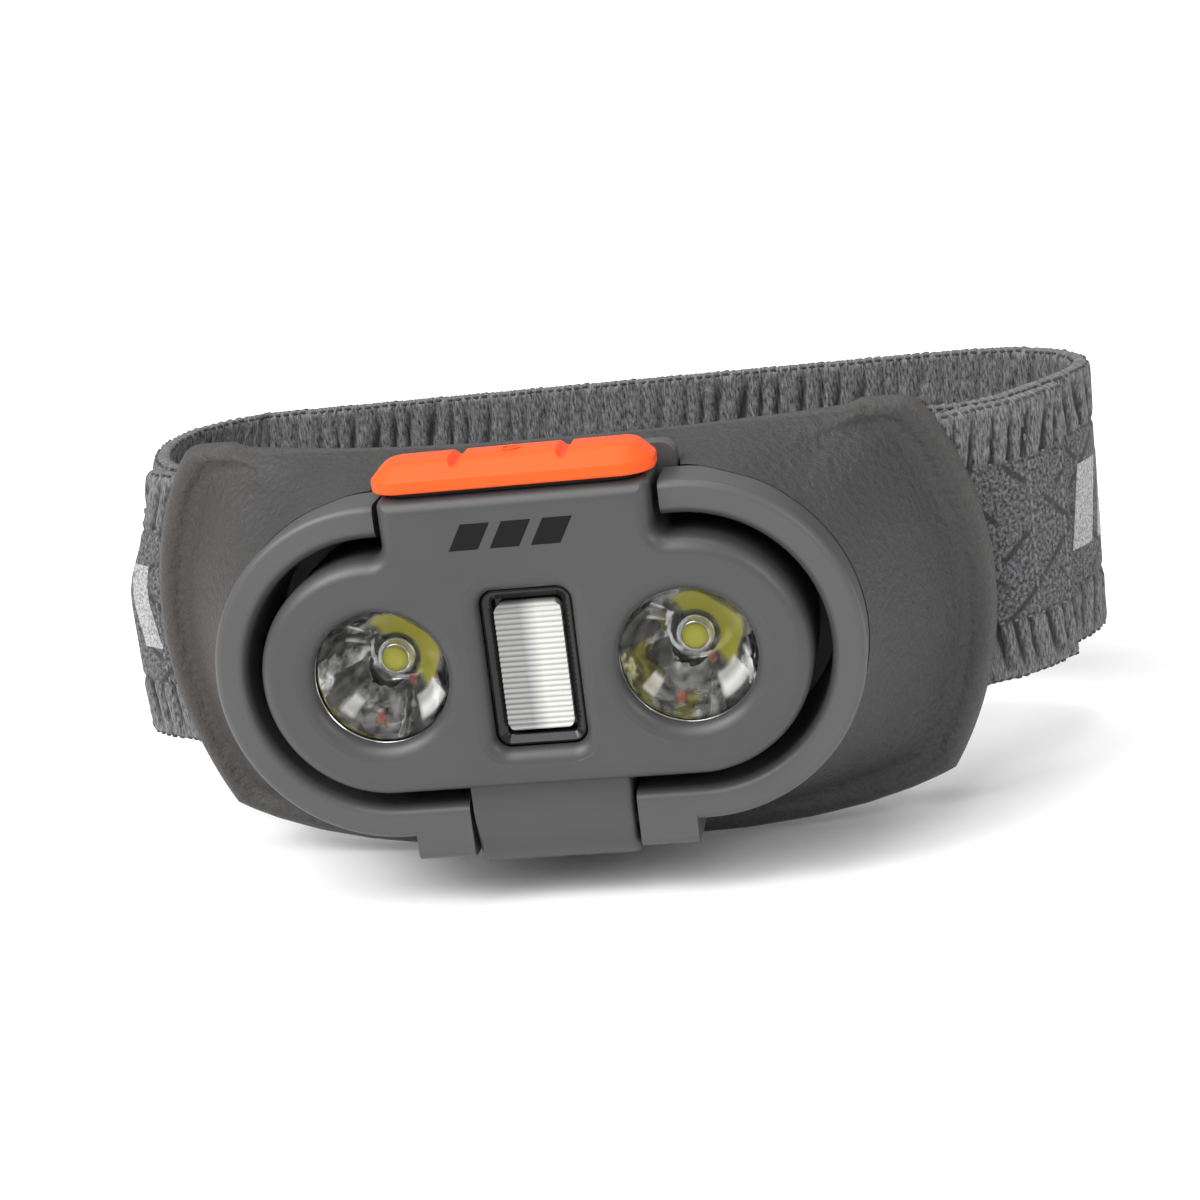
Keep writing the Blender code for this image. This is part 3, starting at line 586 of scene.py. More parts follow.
def optics(side, sign):
    eye = (sign * EYE_X, 0, 0)
    dome = [(7.35, 2.45), (7.35, 1.95)]
    dome += [(7.0 * math.cos(a), 1.9 - 0.35 * math.sin(a)) for a in np.linspace(0, 1.5, 12)]
    lens = piece(f"lens_cover_{side}", turned(dome, eye), CLEAR)
    stand_in(lens, "lamp_pod", "clear_plastic", f"lens_{side}")

    edge = [(7.1, 2.0), (7.2, 1.85), (7.35, 1.8), (7.42, 1.95), (7.3, 2.1)]
    rim_ring = piece(f"lens_rim_{side}", turned(edge, eye, steps=96, closed=True), SILVER)
    stand_in(rim_ring, "lamp_pod", "clear_plastic")

    focal, back = 1.95, 9.9
    radii = np.linspace(2.05, 7.3, 34)
    inner = [(r, back - r * r / (4 * focal)) for r in radii]
    outer = [(r + 0.35, y + 0.25) for r, y in reversed(inner)]
    rim = [(7.3, 2.75), (8.0, 2.75), (8.0, 3.2)]
    cup = piece(f"reflector_bowl_{side}", turned(inner + rim + outer, eye, steps=120, closed=True), CHROME)
    paint_bowl_reflections(cup.data, sign * EYE_X)
    stand_in(cup, "lamp_pod", "reflector_chrome", f"reflector_{side}")

    base = [(1.98, 9.9), (1.98, 8.9), (1.9, 8.6), (1.75, 8.35), (1.6, 8.2), (1.45, 8.15), (1.3, 8.3)]
    led = piece(f"led_body_{side}", turned(base, eye, steps=64), SILVER)
    stand_in(led, "lamp_pod", "led_phosphor", f"led_{side}")
    die = [(1.28, 8.6), (1.28, 8.1), (1.15, 7.95), (0.8, 7.85), (0.3, 7.82)]
    dot = piece(f"led_die_{side}", turned(die, eye, steps=64), PHOSPHOR)
    stand_in(dot, "lamp_pod", "led_phosphor")
    ring = [(2.3, 9.75), (2.3, 9.45), (2.15, 9.35), (2.02, 9.45), (2.02, 9.75)]
    collar = piece(f"led_collar_{side}", turned(ring, eye, steps=64, closed=True), BEZEL)
    stand_in(collar, "lamp_pod", "black_plastic")


def flood():
    ribs = 24
    height = 6.8
    step = 2 * height / ribs
    points = [(3.0, -height)]
    for i in range(ribs):
        for k in range(5):
            t = (k + 0.5) / 5
            points.append((1.75 - 0.30 * math.sin(math.pi * t), -height + step * (i + t)))
    points.append((3.0, height))
    optic = piece("flood_optic", prism_x(points, -3.4, 3.5), DIFFUSER, 60)
    rounded = [[at(x + 0.05, y, z) for x, z in rounded_box(3.45, 6.78, 1.0, 8)] for y in (1.0, 3.2)]
    boolean(optic, loft(rounded), "INTERSECT")
    settle(optic, angle=60)
    stand_in(optic, "lamp_pod", "clear_plastic", "flood_lens")
    inner = rounding(0.0, 1.9, 0.35, 0.35, 1, 4)
    profile = inner + [(0.7, 1.75), (1.15, 2.1), (1.18, 2.7), (0.0, 3.1)]

    def line(inset):
        return rounded_box(4.78 - inset, 8.42 - inset, max(1.55 - inset, 0.3), 10)

    surround = piece("flood_surround", loft(along_y(profile, line), closed=True), BEZEL)
    stand_in(surround, "lamp_pod", "black_plastic", "flood_bezel")
    sheet = piece("flood_back", box((-4.6, 3.3, -8.2), (4.6, 3.6, 8.2)), BEZEL)
    stand_in(sheet, "lamp_pod", "black_plastic")


def badge():
    """Three plain slanted bars, printed on the bump."""
    bm = bmesh.new()
    for middle in (-4.7, -0.5, 3.7):
        outline = [(middle - 2.1, 13.1), (middle + 0.9, 13.1), (middle + 2.4, 15.8), (middle - 0.6, 15.8)]
        part = loft([[at(x, y, z) for x, z in outline] for y in (-0.03, 0.25)])
        bmesh.ops.bevel(part, geom=part.edges, offset=0.00002, segments=1, affect="EDGES")
        temp = bpy.data.meshes.new("temp")
        part.to_mesh(temp)
        part.free()
        bm.from_mesh(temp)
        bpy.data.meshes.remove(temp)
    stand_in(piece("badge_print", bm, INK), "lamp_pod", "black_plastic", "badge_bars")


def button():
    middle = 4.3
    levels = [(0.35, -0.05), (0.1, 0.02), (0.0, 0.18), (0.0, 1.15), (0.08, 1.32)]
    levels += [(0.25, 1.48), (1.30, 2.55), (1.55, 2.72), (1.95, 2.86), (2.6, 2.95)]
    rings = []
    for inset, lift in levels:
        plan = rounded_box(14.5 - inset, 4.05 - inset, max(3.3 - inset, 0.6), 16)
        rings.append([at(x, middle + y, 19.25 + lift) for x, y in plan])
    obj = piece("button_cap", loft(rings), ORANGE)
    for x in (-5.5, 5.5):
        notch = [(x - 1.7, 24), (x - 0.75, 22.25), (x - 0.3, 21.5), (x, 21.35)]
        notch += [(x + 0.3, 21.5), (x + 0.75, 22.25), (x + 1.7, 24)]
        boolean(obj, loft([[at(a, y, z) for a, z in notch] for y in (-2, 12)]))
    settle(obj, 0.22, 3, 24, 60)
    stand_in(obj, "button", "button_orange", "power_button")

    steps = 30
    angles = [QUARTER + 0.5 + (2 * math.pi - 1.0) * i / steps for i in range(steps + 1)]
    bm = bmesh.new()
    loops = []
    for r, z in [(1.0, 22.12), (1.0, 22.34), (0.72, 22.34), (0.72, 22.12)]:
        line = [at(r * math.cos(a), middle + r * math.sin(a), z) for a in angles]
        loops.append([bm.verts.new(p) for p in line])
    for k in range(4):
        low, high = loops[k], loops[(k + 1) % 4]
        for i in range(steps):
            bm.faces.new((low[i], low[i + 1], high[i + 1], high[i]))
    bm.faces.new([loop[0] for loop in loops])
    bm.faces.new([loop[-1] for loop in reversed(loops)])
    bmesh.ops.recalc_face_normals(bm, faces=bm.faces)
    icon = piece("button_icon_ring", bm, ORANGE)
    stand_in(icon, "button", "button_orange")
    bar = box((-0.14, middle + 0.2, 22.1), (0.14, middle + 1.3, 22.34), 0.06)
    stroke = piece("button_icon_stroke", bar, ORANGE)
    stand_in(stroke, "button", "button_orange")


def boot():
    """The soft lip that fills the gap between the bump and the button."""
    rings = []
    for inset, z in [(0.3, 18.78), (0.0, 18.84), (0.2, 18.96), (0.0, 19.08), (0.3, 19.16)]:
        plan = rounded_box(13.2 - inset, 3.4 - inset, 2.6 - inset, 10)
        rings.append([at(x, 4.3 + y, z) for x, y in plan])
    lip = piece("button_boot", loft(rings), RUBBER)
    stand_in(lip, "lamp_pod", "seal_rubber")
    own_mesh(lip)


# --- cradle --------------------------------------------------------------------------------------


def cradle():
    profile = [(16.8, 19.2), (16.8, 9.0), (RING_OUT, 8.4)]
    profile += rounding(RING_OUT, RING_FRONT + 0.9, 0.9, 0.9, -1, 8)
    profile += [
        (RING_IN + 1.1 * (1 - math.sin(a)), RING_FRONT + 1.3 * (1 - math.cos(a)))
        for a in [QUARTER * i / 10 for i in range(11)]
    ]
    profile += [(RING_IN, 17.6)]
    obj = piece("cradle_ring", loft(along_y(profile, lambda r: stadium(15.85, r, 64))), CRADLE)
    boolean(obj, box((-14.6, 0, 14.0), (14.6, 9.1, 25)))
    tongue = [(x, z + 17.3) for x, z in rounded_box(15.9, 3.1, 1.6, 10)]
    boolean(obj, loft([[at(x, y, z) for x, z in tongue] for y in (9.1, 11.6)]), "UNION")
    knuckle = [(y + 5.86, z - 18.25) for y, z in rounded_box(3.84, 2.35, 1.0, 8)]
    for x0, x1 in ((-14.8, -8.8), (8.8, 14.8)):
        boolean(obj, prism_x(knuckle, x0, x1), "UNION")
    boolean(obj, box((-8.8, -1, -30), (8.8, 11.8, -14.0)))
    boolean(obj, turned([(1.1, -14), (1.1, 14)], (0, PIN_Y, PIN_Z), "X", 40))
    settle(obj, 0.3, 3, 45)
    stand_in(obj, "bracket", "cradle_plastic", "cradle_frame")


# --- wing panel ----------------------------------------------------------------------------------


def back_line(x):
    return 21.0 + x * x / 340


def wing_half():
    middle, reach = -1.9, 37.8
    low = math.asin((-22.2 - middle) / reach)
    high = math.asin((17.6 - middle) / reach)
    side = arc(9.0, middle, reach, low, high, 40)
    bottom = [(0.0, -26.3), (9.0, -26.3), (18.0, -26.25), (25.0, -25.8)]
    bottom += [(31.0, -25.0), (36.0, -23.9), (39.2, -22.9)]
    top = [(40.7, 18.5), (40.2, 19.15), (39.4, 19.65), (38.3, 19.9), (36.0, 20.1), (34.6, 20.2)]
    top += [(34.0, 20.1), (33.3, 19.75), (32.6, 19.6), (24.0, 19.45), (16.0, 19.4), (8.0, 19.45), (0.0, 19.5)]
    return bottom + side + top


def meet(origin, direction, outline):
    """Where a ray first meets a closed outline."""
    best = None
    count = len(outline)
    for i in range(count):
        ax, az = outline[i]
        bx, bz = outline[(i + 1) % count]
        ex, ez = bx - ax, bz - az
        det = ex * direction[1] - ez * direction[0]
        if abs(det) < 1e-12:
            continue
        wx, wz = ax - origin[0], az - origin[1]
        reach = (ex * wz - ez * wx) / det
        share = (direction[0] * wz - direction[1] * wx) / det
        if reach > 1e-6 and -TINY <= share <= 1 + TINY and (best is None or reach < best):
            best = reach
    return origin[0] + direction[0] * best, origin[1] + direction[1] * best


def wing():
    outline = mirrored(wing_half())
    rays = []
    for turn in (-1.0, 1.0):
        rays += [((-turn * PILL_X * k / 25, 0.0), (0.0, turn)) for k in range(-24, 25)]
        angles = np.linspace(turn * QUARTER, (turn + 2) * QUARTER, 150)
        rays += [((-turn * PILL_X, 0.0), (math.cos(a), math.sin(a))) for a in angles]
    across = 44
    shares = [1 - (1 - k / across) ** 1.25 for k in range(across + 1)]

    def depth(x):
        """How far back the panel starts, beside the ring."""
        tab = 16.1
        if abs(x) < tab:
            return 12.4
        return 9.2 - 1.7 * smooth_step((abs(x) - tab) / 6.0)

    def lift(x, z, u):
        """The left side sits a little higher, as the soft panel is bent there."""
        if x >= 0:
            return z
        return z + 1.6 * (min(-x, 44.0) / 41.0) ** 1.5 * float(smooth_step(u * 2.2))

    def relief(left, span, front):
        """How far the face is moved back at a distance from the panel's edge."""
        if not front:
            return -0.5 * max(0.0, 1 - left / 0.6) ** 2
        bead = 0.75 * min(1.0, span / 6.0) * math.exp(-(((left - 1.7) / 1.15) ** 2))
        groove = 0.55 * min(1.0, span / 9.0) * math.exp(-(((left - 4.2) / 1.7) ** 2))
        rim = 1.1 * max(0.0, 1 - left / 0.8) ** 2
        return groove + rim - bead

    def surface(radius, inner_lift, rim_lift, front):
        rows = []
        for u in shares:
            row = []
            for (cx, cz), (dx, dz) in rays:
                x0, z0 = cx + dx * radius, cz + dz * radius
                x1, z1 = meet((cx, cz), (dx, dz), outline)
                span = math.hypot(x1 - x0, z1 - z0)
                y0, y1 = depth(x0) + inner_lift, back_line(x1) - rim_lift
                y = y0 + (y1 - y0) * (1 - (1 - u) ** 1.8)
                x, z = x0 + (x1 - x0) * u, z0 + (z1 - z0) * u
                y += relief((1 - u) * span, span, front)
                row.append(at(x, y, lift(x, z, u)))
            rows.append(row)
        return rows

    front = surface(17.98, 0.0, 2.0, True)
    back = surface(17.3, 3.4, 0.0, False)
    obj = piece("wing_shell", loft(front + list(reversed(back)), closed=True), WING, 70)
    count = len(rays)
    # The rim's values make the panel's colour paler there: a painted highlight.
    values = np.zeros(len(obj.data.vertices), np.float32)
    for k, u in enumerate(shares):
        values[k * count : (k + 1) * count] = max(0.0, (u - 0.90) / 0.06) if u < 0.985 else 1.0
    paint(obj.data, edge=np.clip(values, 0, 1))
    stand_in(obj, "bracket", "wing_elastomer", "wing_panel")


# --- strap ---------------------------------------------------------------------------------------

# The strap's turns in plan, from the long run at the back to the bars.
RIGHT = [(42, 62.5), (50, 61.2), (55.8, 56.8), (58, 50.5), (56.2, 45)]
RIGHT += [(52, 39), (48, 34.3), (44, 32.3), (39.4, 32)]
LEFT = [(-42.5, 62.5), (-48.8, 61.2), (-53.2, 56.8), (-54.6, 50), (-53.6, 43)]
LEFT += [(-51.2, 37.5), (-47.6, 33.8), (-43.8, 32.1), (-39.4, 32)]
# Each end leaves its bar at APPROACH and lies on the band from FOLD_X to the y given here.
APPROACH_X, APPROACH_Y = 42.8, 27.7
FOLD_X, RIGHT_FOLD_Y, LEFT_FOLD_Y = 45.5, 39.0, 35.2
RUN_STEPS = 20


def curve_through(points, per_span=14):
    """A Catmull-Rom curve through the points."""
    pts = np.array(points, float)
    ends = np.vstack([pts[:1], pts, pts[-1:]])
    line = []
    for i in range(1, len(ends) - 2):
        p0, p1, p2, p3 = ends[i - 1 : i + 3]
        for k in range(per_span):
            t = k / per_span
            square = (2 * p0 - 5 * p1 + 4 * p2 - p3) * t**2
            cube = (3 * p1 - p0 - 3 * p2 + p3) * t**3
            line.append(0.5 * (2 * p1 + (p2 - p0) * t + square + cube))
    line.append(pts[-1])
    return np.array(line)


def normals(line):
    step = np.gradient(line, axis=0)
    step /= np.linalg.norm(step, axis=1)[:, None]
    return np.stack([-step[:, 1], step[:, 0]], axis=1)


def sideways(line, offset):
    return line + normals(line) * offset


def resample(line, spacing):
    steps = np.linalg.norm(np.diff(line, axis=0), axis=1)
    run = np.concatenate([[0], np.cumsum(steps)])
    marks = np.linspace(0, run[-1], int(run[-1] / spacing) + 1)
    return np.stack([np.interp(marks, run, line[:, k]) for k in (0, 1)], axis=1), marks


def bar_turn(sign):
    r = BAR_R + 0.3 + STRAP_THICK / 2
    angles = [QUARTER - math.pi * i / 16 for i in range(1, 17)]
    return np.array([(sign * (BAR_X - r * math.cos(a)), BAR_Y + r * math.sin(a)) for a in angles])


def strap_line():
    """The band from bar to bar; each end goes round its bar and is sewn back on the outside."""
    right, left = curve_through(RIGHT), curve_through(LEFT)
    right_fold = sideways(right, LAYER)
    right_fold = right_fold[(right_fold[:, 0] > FOLD_X) & (right_fold[:, 1] < RIGHT_FOLD_Y)]
    left_fold = sideways(left, -LAYER)
    left_fold = left_fold[(left_fold[:, 0] < -FOLD_X) & (left_fold[:, 1] < LEFT_FOLD_Y)]
    right_end = np.vstack([bar_turn(1), [(APPROACH_X, APPROACH_Y)], right_fold[::-1]])
    left_end = np.vstack([bar_turn(-1), [(-APPROACH_X, APPROACH_Y)], left_fold[::-1]])
    start, span = RIGHT[0][0], LEFT[0][0] - RIGHT[0][0]
    back = np.array([(start + span * i / RUN_STEPS, RUN_Y) for i in range(1, RUN_STEPS)])
    return np.vstack([right_end[::-1], right[::-1], back, left, left_end])


def lean(points):
    """The strap's left turn leans, its upper half inwards."""
    x, z = points[..., 0], points[..., 2]
    share = smooth_step((-x - 40.0) / 8.0)
    moved = points.copy()
    moved[..., 0] = x + share * 0.27 * z * smooth_step(z / 9.0)
    return moved


def placed(points):
    """What at() does, for an array of points."""
    return (points + np.array([0, FACE_Y, EYE_Z])) * MM


class Band:
    """A knitted band standing on edge along a plan line."""

    def __init__(self, line):
        self.line, self.run = resample(line, 0.36)
        self.line = np.array([self.line[max(0, i - 2) : i + 3].mean(axis=0) for i in range(len(self.line))])
        self.normal = normals(self.line)
        beat = np.cumsum(1 + 0.34 * np.sin(self.run * 0.83) + 0.30 * np.sin(self.run * 2.3 + 1.0))
        self.phase = beat / beat[-1] * self.run[-1] / 2.4

    def relief(self, z, side):
        """(height, rib, zone) at each station for heights z above the band's middle; rib is low in the gaps
        between the ribs and in the groove by the stitches, where the knit's colour takes painted shade.
        """
        tall = np.abs(z)[None, :]
        border = smooth_step((tall - 8.7) / 0.6)
        shift = 0.4 if side > 0 else 0.0
        phase = self.phase[:, None] + 0.07 * (tall - 9.0) + shift + (0.3 * (z > 0))[None, :]
        strength = 0.6 + 0.4 * np.sin(np.floor(phase + 0.5) * 12.9)
        fade = smooth_step((STRAP_HALF + 0.4 - tall) / 4.5)
        gap = np.abs(np.cos(math.pi * phase)) ** 9 * strength * border * fade
        puff = np.abs(np.sin(math.pi * phase)) ** 0.7
        low = np.exp(-(((tall - 8.9) / 0.4) ** 2))
        height = 0.24 * border * (puff - 0.4) - 0.48 * gap - 0.25 * low
        rib = 1 - np.clip(gap * 1.3 + 0.35 * low, 0, 1)
        return height, rib, np.broadcast_to(border, rib.shape)

    def grid(self, z, side, extra=0.0):
        """Points on one face of the band, with their rib and zone values."""
        height, rib, zone = self.relief(z, side)
        reach = (STRAP_HALF - np.abs(z)).clip(0)[None, :]
        edge = np.sqrt(np.clip(1 - (1 - np.clip(reach / 0.9, 0, 1)) ** 2, 0.0, 1))
        out = side * ((STRAP_THICK / 2 + height) * edge + extra)
        xy = self.line[:, None, :] + self.normal[:, None, :] * out[..., None]
        wave = 0.10 * np.cos(2 * math.pi * self.run / 1.15)[:, None]
        scallop = wave * (np.abs(z) / STRAP_HALF)[None, :] ** 8
        heights = z[None, :] * (1 + scallop / STRAP_HALF) + STRAP_MID
        return lean(np.concatenate([xy, heights[..., None]], axis=2)), rib, zone

    def station(self, run):
        """The index of the station at a distance along the band, never the first or last."""
        return int(np.clip(np.searchsorted(self.run, run), 1, len(self.run) - 2))

    def build(self, name):
        rows = 71
        z = STRAP_HALF * np.sin(np.linspace(-QUARTER, QUARTER, rows))
        z = 0.65 * z + 0.35 * np.linspace(-STRAP_HALF, STRAP_HALF, rows)
        front, rib_f, zone_f = self.grid(z, 1)
        back, rib_b, zone_b = self.grid(z, -1)
        n, width = len(self.run), 2 * rows
        loop = np.concatenate([front, back[:, ::-1]], axis=1)
        verts = placed(loop.reshape(-1, 3))
        faces = []
        for i in range(n - 1):
            a, b = i * width, (i + 1) * width
            for j in range(width):
                k = (j + 1) % width
                faces.append((a + j, a + k, b + k, b + j))
        faces.append(tuple(range(width - 1, -1, -1)))
        faces.append(tuple(range((n - 1) * width, n * width)))
        mesh = bpy.data.meshes.new(name)
        mesh.from_pydata(verts.tolist(), [], faces)
        rib = np.concatenate([rib_f, rib_b[:, ::-1]], axis=1).reshape(-1)
        zone = np.concatenate([zone_f, zone_b[:, ::-1]], axis=1).reshape(-1)
        paint(mesh, rib=rib, zone=zone)
        u = np.repeat(self.run, width) / 10
        v = np.tile(np.concatenate([z, z[::-1] + 100]), n) / 10
        uv = mesh.uv_layers.new(name="UVMap")
        corners = np.zeros(len(mesh.loops), np.int32)
        mesh.loops.foreach_get("vertex_index", corners)
        spots = np.stack([u[corners], v[corners]], axis=1)
        uv.data.foreach_set("uv", spots.astype(np.float32).reshape(-1))
        mesh.materials.append(KNIT)
        mesh.shade_smooth()
        bm = bmesh.new()
        bm.from_mesh(mesh)
        bmesh.ops.recalc_face_normals(bm, faces=bm.faces)
        bm.to_mesh(mesh)
        bm.free()
        return add_object(name, mesh)


def rice(bm, centre, along, out, long, wide):
    """A stitch: a small six-sided bead lying on the cloth."""
    sides = 6
    up = out.cross(along).normalized()
    rings = []
    for i in range(1, 5):
        a = math.pi * i / 5
        ring = []
        for j in range(sides):
            b = 2 * math.pi * j / sides
            spoke = up * math.cos(b) + out * math.sin(b)
            p = along * (math.cos(a) * long / 2) + spoke * (math.sin(a) * wide / 2)
            ring.append(bm.verts.new(centre + p * MM))
        rings.append(ring)
    for low, high in zip(rings, rings[1:]):
        for j in range(sides):
            k = (j + 1) % sides
            bm.faces.new((low[j], low[k], high[k], high[j]))
    bm.faces.new(list(reversed(rings[0])))
    bm.faces.new(rings[-1])


def stitches(bm, band, start, end, z, side, pitch, long, wide, extra=-0.02):
    """A row of stitches along the band at one height."""
    cells, _, _ = band.grid(np.array([z, z + 0.01]), side, extra)
    for run in np.arange(start, end, pitch):
        i = band.station(run)
        centre = Vector(placed(cells[i, 0][None])[0])
        along = Vector((band.normal[i][1], -band.normal[i][0], 0))
        out = band.normal[i] * side
        rice(bm, centre, along, Vector((out[0], out[1], 0)), long, wide)


def upright(bm, band, run, low, high, side, pitch, long, wide):
    """A row of stitches across the band."""
    heights = np.arange(low, high, pitch)
    cells, _, _ = band.grid(heights, side, -0.02)
    i = band.station(run)
    out = band.normal[i] * side
    for k in range(len(heights)):
        centre = Vector(placed(cells[i, k][None])[0])
        rice(bm, centre, Vector((0, 0, 1)), Vector((out[0], out[1], 0)), long, wide)


def marks(bm, band, start, count, side, length=4.4):
    """Plain slanted woven blocks along the strap's face."""
    gap, slant = 1.7, 0.22
    for b in range(count):
        u0 = start + b * (length + gap)
        heights = np.linspace(-4.6, 5.0, 15)
        cells, _, _ = band.grid(heights, side, 0.07)
        under, _, _ = band.grid(heights, side, -0.2)
        wide = 13
        tops, lows = [], []
        for k, z in enumerate(heights):
            runs = u0 + slant * z + np.linspace(0, length, wide)
            for source, keep in ((cells, tops), (under, lows)):
                columns = [np.interp(runs, band.run, source[:, k, c]) for c in range(3)]
                row = np.stack(columns, axis=1)
                keep.append([bm.verts.new(Vector(p)) for p in placed(row)])
        for grid in (tops, lows):
            for low, high in zip(grid, grid[1:]):
                for j in range(wide - 1):
                    bm.faces.new((low[j], low[j + 1], high[j + 1], high[j]))
        for k in range(len(heights) - 1):
            for j in (0, wide - 1):
                bm.faces.new((tops[k][j], tops[k + 1][j], lows[k + 1][j], lows[k][j]))
        for k in (0, len(heights) - 1):
            for j in range(wide - 1):
                bm.faces.new((tops[k][j], tops[k][j + 1], lows[k][j + 1], lows[k][j]))
    bmesh.ops.recalc_face_normals(bm, faces=bm.faces)


def nearest(band, place, low, high):
    """The run of the station nearest to a plan point, between two shares of the length."""
    first, last = int(low * len(band.run)), int(high * len(band.run))
    apart = np.linalg.norm(band.line[first:last] - np.array(place), axis=1)
    return band.run[first + np.argmin(apart)]


def strap():
    band = Band(strap_line())
    length = band.run[-1]
    obj = band.build("strap_main")
    stand_in(obj, "bracket", "strap_knit", "strap_webbing")
    turn = int(0.28 * len(band.run))
    outer = 1 if band.normal[turn] @ (band.line[turn] - np.array([0.0, 45.0])) > 0 else -1

    bm = bmesh.new()
    for z in (8.95, -8.95):
        for side in (1, -1):
            stitches(bm, band, 2, length - 2, z, side, 1.9, 0.8, 0.34)
    for run in (1.4, 6.6, length - 1.4, length - 6.0):
        for side in (1, -1):
            upright(bm, band, run, -14.4, 14.6, side, 1.5, 1.0, 0.36)
    thread = piece("strap_stitches", bm, THREAD, 80)
    stand_in(thread, "bracket", "strap_knit")

    bm = bmesh.new()
    for z in (STRAP_HALF - 0.25, -STRAP_HALF + 0.25):
        for side in (1, -1):
            stitches(bm, band, 0.6, length - 0.6, z, side, 1.15, 0.85, 0.42, 0.05)
    overlock = piece("strap_overlock", bm, DARK_THREAD, 80)
    stand_in(overlock, "bracket", "strap_knit")

    bm = bmesh.new()
    marks(bm, band, nearest(band, (55.0, 43.3), 0.1, 0.4), 5, outer)
    marks(bm, band, nearest(band, (-49.0, 31.5), 0.9, 1.0), 1, -outer, 3.2)
    blocks = piece("strap_marks", bm, WOVEN, 60)
    stand_in(blocks, "bracket", "strap_knit")


# --- pad -----------------------------------------------------------------------------------------


def pad():
    across, up = 110, 56
    wide, tall, middle_z = 33.5, 15, -1
    xs = np.linspace(-wide, wide, across)
    zs = np.linspace(middle_z - tall, middle_z + tall, up)
    gx, gz = np.meshgrid(xs, zs, indexing="ij")
    front = back_line(gx) + 2.2
    rear = 27.2 + np.maximum(np.abs(gx) - 15, 0) ** 2 / 138
    edge = np.minimum(wide - np.abs(gx), tall - np.abs(gz - middle_z))
    soft = np.sqrt(np.clip(1 - (1 - np.clip(edge / 2.2, 0, 1)) ** 2, 0, 1))
    puff, square = 0.28, 9
    rise = np.abs(np.sin(math.pi * (gx + gz) / square))
    fall = np.abs(np.sin(math.pi * (gx - gz) / square))
    quilt = puff * (rise * fall) ** 0.5
    middle = (front + rear) / 2
    half = (rear - front) / 2
    back = middle + (half - puff + quilt) * soft
    fore = middle - (half - 0.05) * soft
    verts = []
    for y in (back, fore):
        grid = zip(gx.ravel(), y.ravel(), gz.ravel())
        verts += [at(float(a), float(b), float(c)) for a, b, c in grid]
    count = across * up
    faces = []
    for i in range(across - 1):
        for j in range(up - 1):
            a, b = i * up + j, (i + 1) * up + j
            faces.append((a, b, b + 1, a + 1))
            faces.append((count + a, count + a + 1, count + b + 1, count + b))
    mesh = bpy.data.meshes.new("pad_cushion")
    mesh.from_pydata(verts, [], faces)
    bm = bmesh.new()
    bm.from_mesh(mesh)
    bmesh.ops.remove_doubles(bm, verts=bm.verts, dist=1e-6)
    bmesh.ops.holes_fill(bm, edges=bm.edges)
    bmesh.ops.recalc_face_normals(bm, faces=bm.faces)
    obj = piece("pad_cushion", bm, PAD, 80)
    stand_in(obj, "bracket", "pad_foam", "forehead_pad")


# --- pieces that stay as they are ----------------------------------------------------------------


def dress(names, mat, bevel=0.0):
    for name in names:
        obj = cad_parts[name]
        obj.data.materials.clear()
        obj.data.materials.append(mat)
        obj.data.shade_smooth()
        obj.data.set_sharp_from_angle(angle=math.radians(38))
        if bevel:
            soften(obj, bevel, 2, 50)
            keep_flat(obj)


housing()
optics("left", -1)
optics("right", 1)
flood()
badge()
button()
boot()
cradle()
wing()
strap()
pad()
dress(["pod_rear_cover"], POD, 0.1)
dress(["back_frame"], BLACK, 0.25)
dress(["tact_switch"], BLACK)
dress(["housing_seal", "port_plug"], RUBBER)
dress(["main_circuit_board", "flood_circuit_board", "switch_board"], BOARD)
dress(["flood_led_white"], PHOSPHOR)
dress(["flood_led_red"], RED)
dress(["battery_cell"], FOIL, 0.3)
dress(["usb_c_port", "hinge_pin", "tilt_detent", "switch_plunger"], STEEL)
dress(["frame_screw_left", "frame_screw_right"], STEEL)
dress([f"cover_screw_{s}_{h}" for s in ("left", "right") for h in ("low", "high")], STEEL)

# --- floor, light and camera ---------------------------------------------------------------------


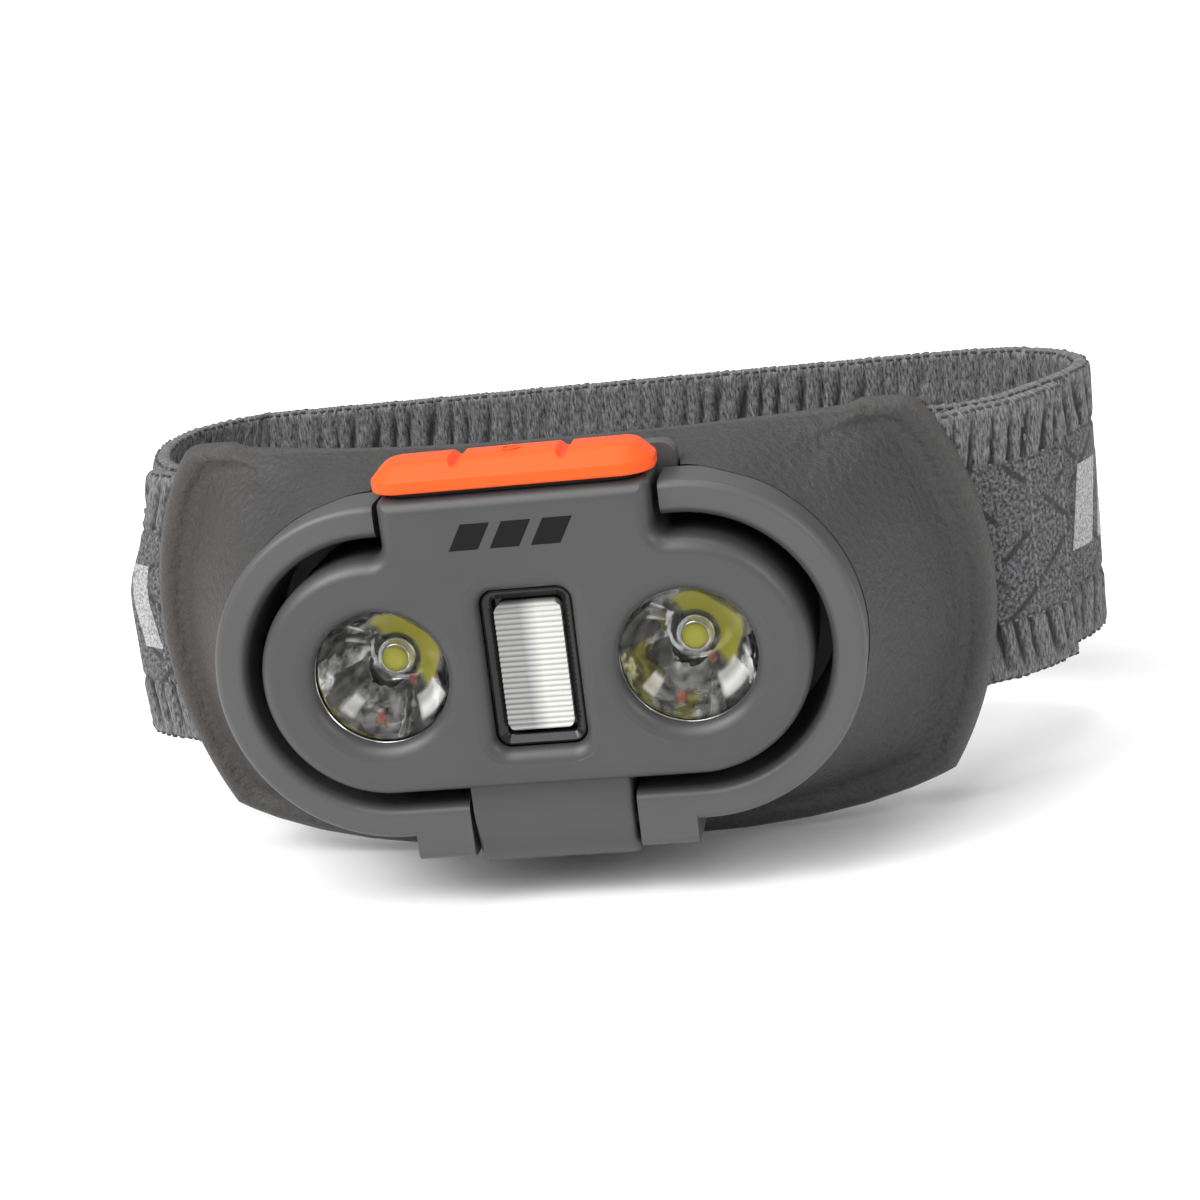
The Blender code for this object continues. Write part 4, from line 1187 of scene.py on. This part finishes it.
def area(name, place, target, size, power):
    data = bpy.data.lights.new(name, "AREA")
    data.shape, data.size, data.size_y = "RECTANGLE", size[0], size[1]
    data.energy = power
    obj = add_object(name, data)
    obj.location = place
    obj.rotation_euler = (Vector(target) - Vector(place)).to_track_quat("-Z", "Y").to_euler()


floor_mat = Nodes("floor_pale", (0.93, 0.93, 0.93), 0.9)
floor_mat.rough(floor_mat.ramp(floor_mat.noise(floor_mat.coords(), 40, 2), 0.3, 0.7, 0.86, 0.94))
bm = bmesh.new()
bmesh.ops.create_grid(bm, x_segments=2, y_segments=2, size=9)
floor = piece("floor", bm, floor_mat.mat)
floor.location.z = LO.z - 0.0006

world = bpy.data.worlds.new("studio")
world.use_nodes = True
sky = world.node_tree.nodes["Background"]
sky.inputs["Color"].default_value = (1, 1, 1, 1)
sky.inputs["Strength"].default_value = 0.5
bpy.context.scene.world = world

light = bpy.data.lights.new("sun", "SUN")
light.energy, light.angle = 3.0, math.radians(60)
sun = add_object("sun", light)
sun.rotation_euler = Vector((-0.45, -0.55, 0.80)).to_track_quat("Z", "Y").to_euler()
area("key", (-0.50, -0.45, 0.62), (0, 0, 0), (0.30, 0.30), 2.6)
area("fill", (0.60, -0.40, 0.42), (0, 0, 0), (0.22, 0.34), 1.5)
area("top", (0.05, 0.15, 0.80), (0, 0.02, 0), (0.5, 0.25), 1.6)

azimuth, elevation, roll = math.radians(9.49), math.radians(15.45), math.radians(7.02)
right = Vector((math.cos(azimuth), math.sin(azimuth), 0))
level = math.cos(elevation)
back = Vector((math.sin(azimuth) * level, -math.cos(azimuth) * level, math.sin(elevation)))
up = back.cross(right)
across = right * math.cos(roll) - up * math.sin(roll)
upward = right * math.sin(roll) + up * math.cos(roll)
distance = 0.26
spot = at(7.864, 0, 6.878) + back * distance
lens = bpy.data.cameras.new("camera")
lens.lens, lens.sensor_width, lens.clip_start = 78.08, 36, 0.01
camera = add_object("camera", lens)
rows = [[across[i], upward[i], back[i], spot[i]] for i in range(3)] + [[0, 0, 0, 1]]
camera.matrix_world = Matrix(rows)
bpy.context.scene.camera = camera
bpy.context.scene.view_settings.view_transform = "Standard"
